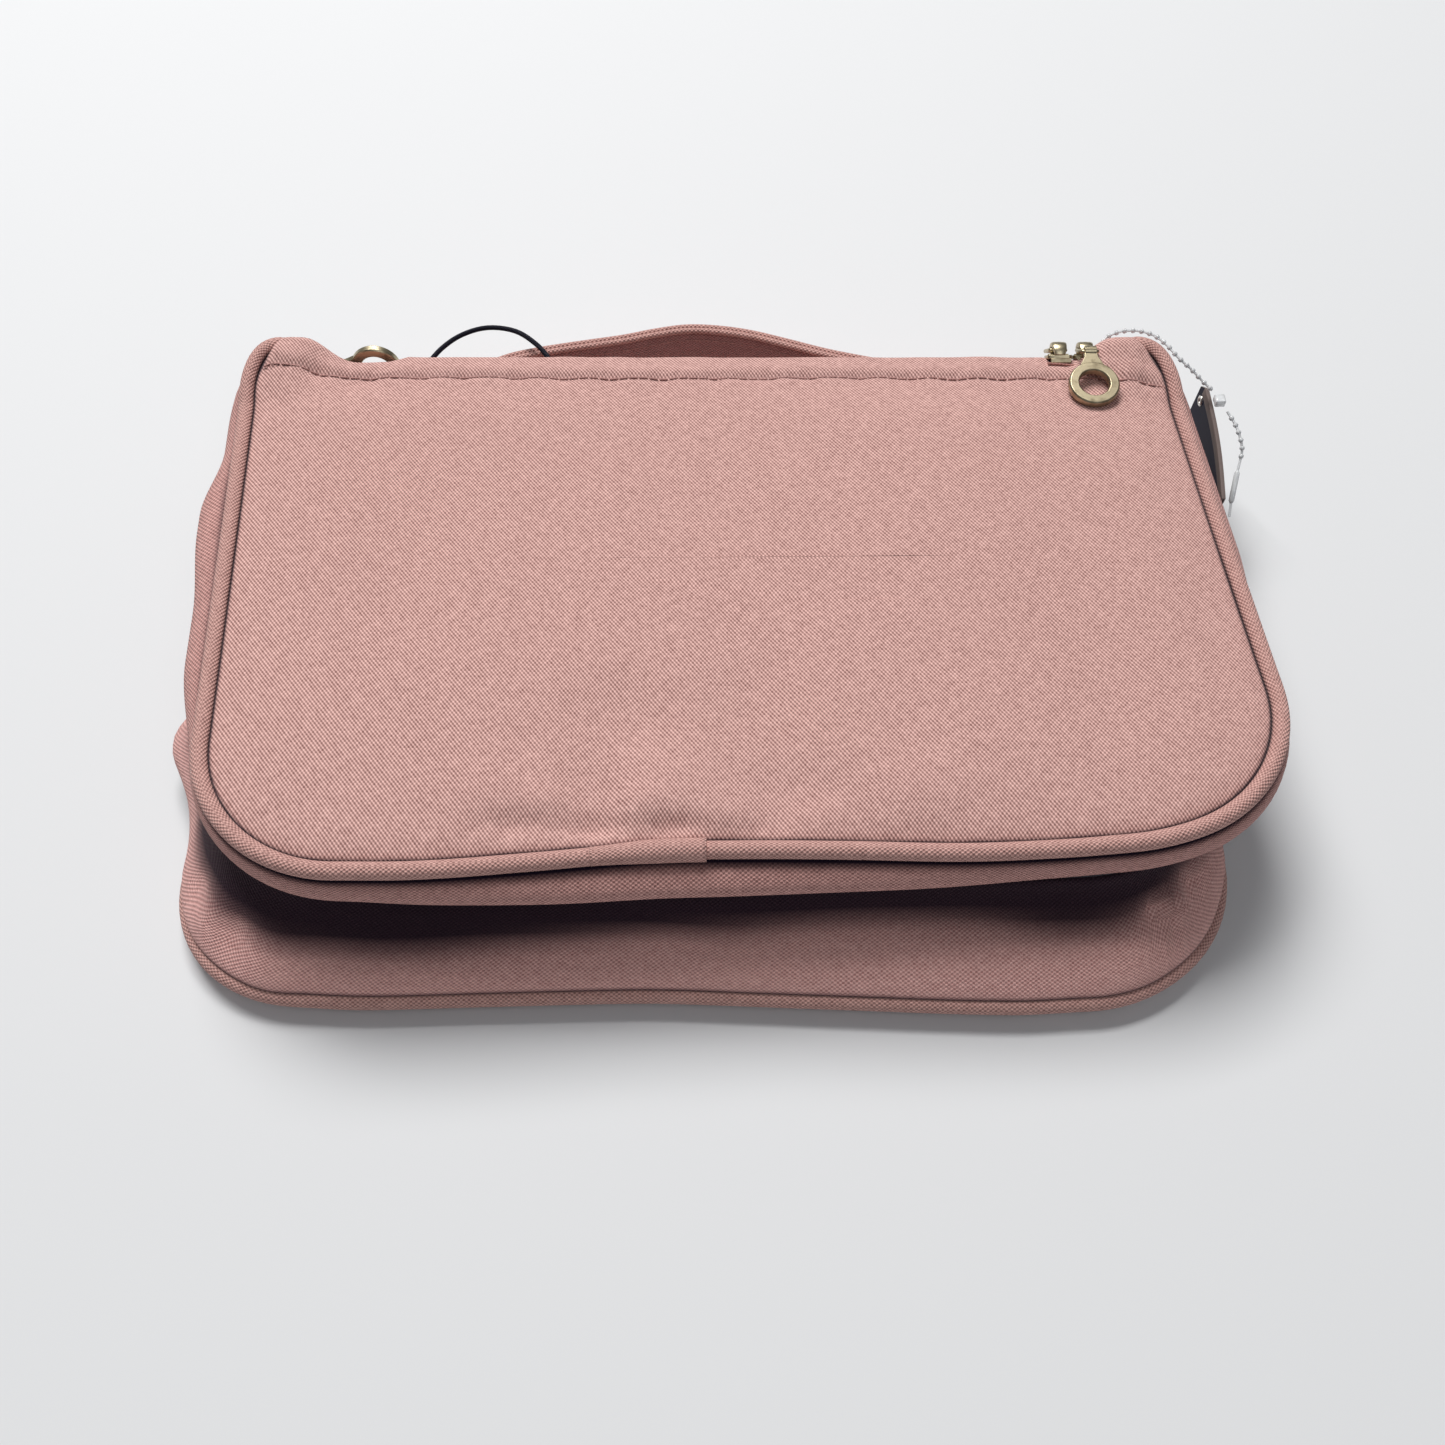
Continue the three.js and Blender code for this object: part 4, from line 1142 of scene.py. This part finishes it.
def band_arch(r_in, r_out, half, centre_y, steps=18):
    """A slider's crown: a half ring over the face, thicker and rounded across its top."""
    def squared(v):
        return math.copysign(abs(v) ** 0.6, v)
    section = [(half * squared(cos), squared(sin)) for sin, cos in circle(12)]
    mid, thick = (r_in + r_out) / 2, (r_out - r_in) / 2
    pts = []
    for j in range(steps + 1):
        a = math.pi * j / steps
        swell = 1 + 0.45 * math.sin(a)
        for sx, sr in section:
            r = mid + sr * thick + (0.25 * math.sin(a) if sr > 0 else 0)
            pts.append((sx * swell, centre_y + r * math.sin(a), r * math.cos(a)))
    return pts, grid_faces(steps + 1, 12) + end_faces(steps + 1, 12)


def corner_arcs(centres, radii):
    """A quarter turn round each corner's centre, anticlockwise from the upper right one."""
    pts = []
    for turn, ((x, z), r) in enumerate(zip(centres, radii)):
        pts += arc(x, z, r, turn * math.pi / 2, (turn + 1) * math.pi / 2, 5)
    return pts


def shield(half, tall):
    """A slider's outline: broad at one end, drawn in towards the other, with rounded corners."""
    broad, slim, low = 1.2, 1.0, tall * 0.72
    x, back = half - broad, -half + slim
    centres = [(x, tall - broad), (back, low - slim), (back, -low + slim), (x, -tall + broad)]
    return corner_arcs(centres, (broad, slim, slim, broad))


def make_slider(s):
    """Two wings that hold the coils, a plate over them, and a crown for the pull."""
    wings = []
    for sign in (1, -1):
        outline = [(-2.7, sign * 2.75), (3.5, sign * 2.75), (3.5, sign * 3.85), (-2.7, sign * 3.1)]
        wings.append(prism(outline, 0.3, 1.7))
    ridge = prism([(-3.1, -0.55), (3.2, -0.8), (3.2, 0.8), (-3.1, 0.55)], 2.5, 3.15)
    crown = band_arch(2.3, 3.9, 1.7, 2.7)
    if s["sideways"]:
        crown = move([crown], Matrix.Rotation(math.pi / 2, 4, "Y"))[0]
    plate = prism(shield(3.8, 4.0), 1.55, 2.7)
    parts = move([plate, *wings, ridge, crown], tail_matrix(TAILS[s["side"]], s["x"]))
    obj = metal_piece(f"slider_{s['name']}_body", parts, 0.28)
    piece(obj, f"slider_{s['name']}", "antique_gold", f"slider_{s['name']}")


def tidy_normals(obj):
    bm = bmesh.new()
    bm.from_mesh(obj.data)
    bmesh.ops.recalc_face_normals(bm, faces=bm.faces)
    bm.to_mesh(obj.data)
    bm.free()
    return obj


def metal_piece(name, parts, edge, segments=3):
    """A cast part in antique gold, its edges rounded by a width in millimetres."""
    obj = tidy_normals(join_meshes(name, parts, MAT["gold"]))
    if edge:
        bevel(obj, edge * MM, segments).modifiers["edges"].harden_normals = True
    return obj


def swing_matrix(s, point, degrees):
    """Places a pull's part: local +Z points where the part hangs, with its bar along X."""
    angle = math.radians(degrees)
    if s["sideways"]:
        swing = Matrix.Rotation(-angle, 4, "Z") @ Matrix.Rotation(math.pi / 2, 4, "Y")
    else:
        swing = Matrix.Rotation(TAILS[s["side"]]["up"] + angle, 4, "X")
    return Matrix.Translation(point) @ swing @ Matrix.Rotation(-math.pi / 2, 4, "X")


def joint_point(name):
    return Vector(JOINTS[name]["pos_m"]) / MM


def make_link(s):
    """A wire loop, a little wider than it is thick."""
    corners = [(1.75, 6.95), (-1.75, 6.95), (-1.75, 0.85), (1.75, 0.85)]
    path = [Vector((x, 0, z)) for x, z in corner_arcs(corners, (0.85,) * 4)]
    n, sides, pts = len(path), 10, []
    for i, p in enumerate(path):
        t = (path[(i + 1) % n] - path[i - 1]).normalized()
        out = t.cross(Vector((0, 1, 0))).normalized()
        pts += [p + out * cos * 0.5 + Vector((0, 1, 0)) * sin * 0.62 for sin, cos in circle(sides)]
    matrix = swing_matrix(s, joint_point(f"link_{s['name']}_swing"), s["link"])
    wire = move([(pts, grid_faces(n, sides, closed=True))], matrix)
    node = f"link_{s['name']}"
    piece(metal_piece(f"{node}_wire", wire, 0), node, "antique_gold", node)


def lathe(profile, centre_z, steps=72):
    """A ring about the Y axis through (0, 0, centre_z), from a closed (radius, y) profile."""
    pts = [(r * sin, y, centre_z + r * cos) for sin, cos in circle(steps) for r, y in profile]
    return pts, grid_faces(steps, len(profile), closed=True)


def barrel(half, outer, inner, sides=18):
    """The tube that a pull turns on, along X."""
    pts = [(x, r * cos, r * sin) for r in (outer, inner) for x in (-half, half) for sin, cos in circle(sides)]
    faces = []
    for k in range(sides):
        l = (k + 1) % sides
        faces += [(k, sides + k, sides + l, l), (2 * sides + k, 2 * sides + l, 3 * sides + l, 3 * sides + k),
                  (k, l, 2 * sides + l, 2 * sides + k), (sides + k, 3 * sides + k, 3 * sides + l, sides + l)]
    return pts, faces


def make_ring_pull(s):
    inner, outer, half, reach = 4.55, 7.7, 1.3, 12.3
    e, f = 0.35, 0.45  # chamfers of the inner and outer edges
    profile = [(inner, -half + f), (inner + e, -half), (outer - f, -half), (outer, -half + f),
               (outer, half - f), (outer - f, half), (inner + e, half), (inner, half - f)]
    end = reach - outer + 1.0
    neck = prism([(-1.75, 0.3), (1.75, 0.3), (2.1, 2.6), (3.6, end), (-3.6, end), (-2.1, 2.6)], -1.0, 1.0)
    matrix = swing_matrix(s, joint_point(f"ring_{s['name']}_swing"), s["ring"])
    parts = move([lathe(profile, reach), neck, barrel(1.75, 1.75, 0.95)], matrix)
    obj = metal_piece(f"ring_pull_{s['name']}_metal", parts, 0.14, 2)
    piece(obj, f"ring_pull_{s['name']}", "antique_gold", f"ring_pull_{s['name']}")


# The carry handle

HANDLE_CURVE = [
    (-84, 101.5), (-77, 105.8), (-67, 111.3), (-52, 115.3), (-32, 119.5), (-12, 124.3), (9, 121.7),
    (34, 112.8), (64, 104.9), (84, 101.5),
]


def handle_ring(z, off):
    """The handle's course at a height, moved sideways off its middle."""
    path = [(p.x, p.y) for p in catmull([(x, y, 0) for x, y in HANDLE_CURVE], 10)]
    return [Vector((x, y, z)) for x, y in offset_path(path, off)]


def make_handle():
    """A flat strap with a pair of thin rolls along each edge."""
    section = [(15.2, 0.0), (15.6, 0.9), (17.4, 1.05), (21, 1.25), (24.5, 1.3), (28, 1.25), (31.6, 1.05),
               (33.4, 0.9), (34.6, 0.5), (34.6, -0.5), (33.4, -0.8), (31.6, -0.9), (28, -0.85), (24.5, -0.8),
               (21, -0.85), (17.4, -0.95), (15.6, -0.9)]
    inner_face = 9  # from here on the section faces the bag, and is painted half in shade
    rings = [handle_ring(z, off) for z, off in section]
    strap = loft("handle_strap_cloth", rings, MAT["strip"], closed_across=True, caps=True,
                 shade=lambda j, p: 0.5 if j >= inner_face else 0.0)
    piece(strap, "handle", "woven_pink", "handle_strap")
    for node, z in (("handle_cord_lower", 13.7), ("handle_cord_upper", 35.3)):
        for i, off in enumerate((0.85, -0.85)):
            path = catmull(handle_ring(z, off)[::5], 5)
            cord = tube(f"{node}_roll_{i}", path, 0.98, MAT["piping"], 12)
            piece(cord, "handle", "piping_pink", *([node] if i == 0 else []))
    for face, off in (("outer", 1.22), ("inner", -0.98)):
        for row, z in (("low", 17.8), ("high", 31.4)):
            stitches(f"handle_stitches_{face}_{row}", handle_ring(z, off), "handle", 3.0, 2.1, 0.26)


def patch(name, box, material, puff):
    """A sewn tab of cloth filling a box, domed outwards along +Y, with rounded edges."""
    (x0, y0, z0), (x1, y1, z1) = box
    nx, nz = 10, 12
    rows = []
    for j in range(nz + 1):
        w, row = j / nz, []
        for i in range(nx + 1):
            u = i / nx
            rise = smooth01(min(u, 1 - u, w, 1 - w) * 9)
            y = y0 + (y1 - y0) * rise + puff * math.sin(math.pi * u) * math.sin(math.pi * w)
            row.append((x0 + (x1 - x0) * u, y, z0 + (z1 - z0) * w))
        rows.append(row)
    return loft(name, rows, material)


def make_anchors():
    for node in ("handle_anchor_left", "handle_anchor_right"):
        box = box_mm(node)
        tab = patch(f"{node}_cloth", box, MAT["piping"], 0.25)
        thicken(tab, 0.6, 1)
        piece(tab, "base", "piping_pink", node)
        (x0, _, z0), (x1, y, z1) = box
        y, x0, z0, x1, z1 = y + 0.25, x0 + 1.6, z0 + 1.6, x1 - 1.6, z1 - 1.6
        loop = [(x0, y, z0), (x1, y, z0), (x1, y, z1), (x0, y, z1), (x0, y, z0)]
        stitches(f"{node}_stitches", loop, "base", 2.4, 1.7, 0.22, slot="piping_pink")


# The tag

TAG = dict(x=151.9, y=(53.7, 97.7), z=(12, 38.4), t=0.8, hole=(94.2, 32.6), tilt=9.5)


def tag_place():
    """Turns the card about its hole, as it hangs."""
    hole = TAG["hole"]
    return (Matrix.Translation((TAG["x"], *hole)) @ Matrix.Rotation(math.radians(TAG["tilt"]), 4, "X")
            @ Matrix.Translation((0, -hole[0], -hole[1])))


def bowed_bar(name, y_end, section, material, rows=16):
    """A bar along the card's bow, from the corners that section gives at each Y."""
    (y0, y1), pts = TAG["y"], []
    for y in spread(y0, y_end, rows, first=0) + [y_end]:
        bow = 1.1 * math.sin(math.pi * (y - y0) / (y1 - y0))
        pts += [(x + bow, y, z) for x, z in section(y)]
    faces = grid_faces(rows + 1, 4) + [(0, 1, 2, 3), tuple(4 * rows + k for k in (3, 2, 1, 0))]
    return tidy_normals(join_meshes(name, move([(pts, faces)], tag_place()), material))


def make_tag():
    """A card with a slanting upper end, dark on the bag's side, with a pale strip along its upper edge."""
    y_far, (z0, z1), half, slant = TAG["y"][1], TAG["z"], TAG["t"] / 2, 3

    def card_section(y):
        top = z1 - max(0.0, y - (y_far - slant))
        return (-half, z0), (half, z0), (half, top), (-half, top)

    card = bowed_bar("tag_card_board", y_far, card_section, MAT["card"])
    card.data.materials.append(MAT["card_back"])
    for poly in card.data.polygons:
        poly.use_smooth = False
        if poly.normal.x > -0.5:
            poly.material_index = 1
    piece(bevel(card, 0.12 * MM, 2), "tag", "tag_card", "tag_card")
    a, b, low, top = -half - 0.25, half + 0.2, z1 - 3.2, z1 + 0.2
    edge = bowed_bar("tag_card_edge", y_far - slant, lambda y: ((a, low), (b, low), (b, top), (a, top)),
                     MAT["card_back"])
    piece(bevel(edge, 0.12 * MM, 2), "tag", "tag_card")


def make_eyelet():
    lo, hi = box_mm("tag_eyelet")
    wide, thick = (hi[1] - lo[1]) / 2, (hi[0] - lo[0]) / 2
    profile = [(wide * 0.55, -thick), (wide * 0.85, -thick), (wide, -thick * 0.6), (wide, thick * 0.6),
               (wide * 0.85, thick), (wide * 0.55, thick), (wide * 0.45, 0.0)]
    place = Matrix.Translation((Vector(lo) + Vector(hi)) / 2) @ Matrix.Rotation(math.pi / 2, 4, "Z")
    eyelet = join_meshes("tag_eyelet_metal", move([lathe(profile, 0.0, 36)], place), MAT["steel"])
    piece(tidy_normals(eyelet), "tag", "eyelet_steel", "tag_eyelet")


# Inside: the lid's lining and pocket, and the elastic in the base

def make_lid_lining():
    outline = dict(inset(LID, PIPE_R + 0.9), far=84.0)
    # inset, height and slackness
    steps = [(60, 42.9, 0.1), (1.0, 42.7, 0.1), (0, 42.3, 0), (1.0, 41.8, 0.1), (8, 41.7, 0.25),
             (24, 41.7, 0.25), (60, 41.7, 0.25)]
    rings = [[(x, y, z + soft * ripple(x, y, 20, 11)) for x, y in ring_rail(inset(outline, by), 4.0)]
             for by, z, soft in steps]
    piece(closed_skin("lid_lining_cloth", rings, MAT["lining"]), "lid", "dark_lining", "lid_lining")


POCKET = dict(half=118, y=(-62, 66), corner=20)


POCKET_MOUTH = 23  # points along the pocket's open far side


def pocket_outline(by):
    """The pocket's outline from its far left corner, drawn in by a distance; the mouth comes last."""
    half, near, far, r = POCKET["half"] - by, POCKET["y"][0] + by, POCKET["y"][1] - by, POCKET["corner"]
    pts = [(-half, y) for y in spread(far, near + r, 12, first=0)]
    pts += arc(-half + r, near + r, r, math.pi, 1.5 * math.pi, 8)
    pts += [(x, near) for x in spread(-half + r, half - r, 24)]
    pts += arc(half - r, near + r, r, 1.5 * math.pi, 2 * math.pi, 8)
    pts += [(half, y) for y in spread(near + r, far, 12) + [far]]
    return pts + [(x, far) for x in spread(half, -half, POCKET_MOUTH + 1)]


def make_pocket():
    # inset, height and sag
    steps = [(50, 38.9, 0), (0.4, 39.0, 0), (0, 38.7, 0), (0.4, 38.4, 0), (8, 38.4, 0.5), (24, 38.4, 1.2),
             (50, 38.4, 1.6)]
    rings = [[(x, y, z - sag * (0.6 + 0.4 * ripple(x, y, 25, 13))) for x, y in pocket_outline(by)]
             for by, z, sag in steps]
    piece(closed_skin("pocket_mesh_net", rings, MAT["mesh"]), "lid", "dark_lining", "pocket_mesh")
    binding = [[(x, y, z) for x, y in pocket_outline(by)[:-POCKET_MOUTH]]
               for by, z in ((0.0, 39.4), (0.0, 41.3), (3.4, 41.3), (3.4, 39.4))]
    band = loft("pocket_binding_tape", binding, MAT["piping"], closed_across=True, caps=True)
    piece(band, "lid", "woven_pink", "pocket_binding")


def make_pocket_zip():
    (x0, y0, z0), (x1, y1, z1) = box_mm("pocket_zip_tape")
    section = [(y0, z0 + 0.3), (y0 + 0.2, z0), (y0 + 6, z0), (y1 - 6, z0), (y1 - 0.2, z0), (y1, z0 + 0.3),
               (y1 - 0.2, z1), (y0 + 0.2, z1)]
    rows = [[(x, y, z) for x in spread(x0, x1, 40, first=0) + [x1]] for y, z in section]
    tape = loft("pocket_zip_tape_cloth", rows, MAT["tape"], closed_across=True, caps=True)
    piece(tape, "lid", "zip_dark", "pocket_zip_tape")
    (x0, y0, z0), (x1, y1, z1) = box_mm("pocket_zip_coil")
    parts, x, z = [], x0 + 0.6, (z0 + z1) / 2
    while x < x1 - 0.5:
        parts.append(capsule((x, y0 + 0.3, z), (x, y1 - 0.3, z), 0.5, 5))
        x += 1.5
    piece(join_meshes("pocket_zip_coil_teeth", parts, MAT["coil"]), "lid", "zip_dark", "pocket_zip_coil")
    for node in ("pocket_slider", "pocket_pull"):
        metal = frame["nodes"][node]
        metal.data.materials.clear()
        metal.data.materials.append(MAT["gold"])
        bevel(metal, 0.15 * MM, 2)


def offset_path(path, off):
    """A path in (x, y) moved sideways, to the left of its direction."""
    out = []
    for i, (x, y) in enumerate(path):
        (ax, ay), (bx, by) = path[max(i - 1, 0)], path[min(i + 1, len(path) - 1)]
        t = Vector((bx - ax, by - ay)).normalized()
        out.append((x - t.y * off, y + t.x * off))
    return out


def elastic_line():
    """The band's course along the tray's far wall: four loops that stand out from it."""
    span, pitch, deep, y = 92, 46, 15, 89.4
    corners = [(0, 0), (4, 0), (9, 1), (37, 1), (42, 0)]
    loops = [(-span + i * pitch + a, y - deep * out) for i in range(4) for a, out in corners]
    line = [(-span - 8, y), *loops, (span + 8, y)]
    dense = []
    for (ax, ay), (bx, by) in zip(line, line[1:]):
        n = max(1, round(math.hypot(bx - ax, by - ay) / 2))
        dense += zip(spread(ax, bx, n, first=0), spread(ay, by, n, first=0))
    dense.append(line[-1])
    soft = [((a[0] + 2 * b[0] + c[0]) / 4, (a[1] + 2 * b[1] + c[1]) / 4)
            for a, b, c in zip(dense, dense[1:], dense[2:])]
    return [dense[0], *soft, dense[-1]]


def make_bottle_elastic():
    line = elastic_line()
    section = [(7.0, 0), (7.3, 0.55), (15, 0.62), (22.7, 0.55), (23, 0), (22.7, -0.55), (15, -0.62),
               (7.3, -0.55)]
    rings = [[(x, y, z) for x, y in offset_path(line, off)] for z, off in section]
    band = loft("bottle_elastic_band", rings, MAT["band"], closed_across=True, caps=True)
    piece(band, "base", "dark_lining", "bottle_elastic")


make_main_zip()
for zip_side in ("left", "right"):
    make_zip_tail(zip_side)
for zip_slider in SLIDERS:
    make_slider(zip_slider)
    make_link(zip_slider)
    if zip_slider["ring"] is not None:
        make_ring_pull(zip_slider)
make_handle()
make_anchors()
make_tag()
make_eyelet()
make_lid_lining()
make_pocket()
make_pocket_zip()
make_bottle_elastic()
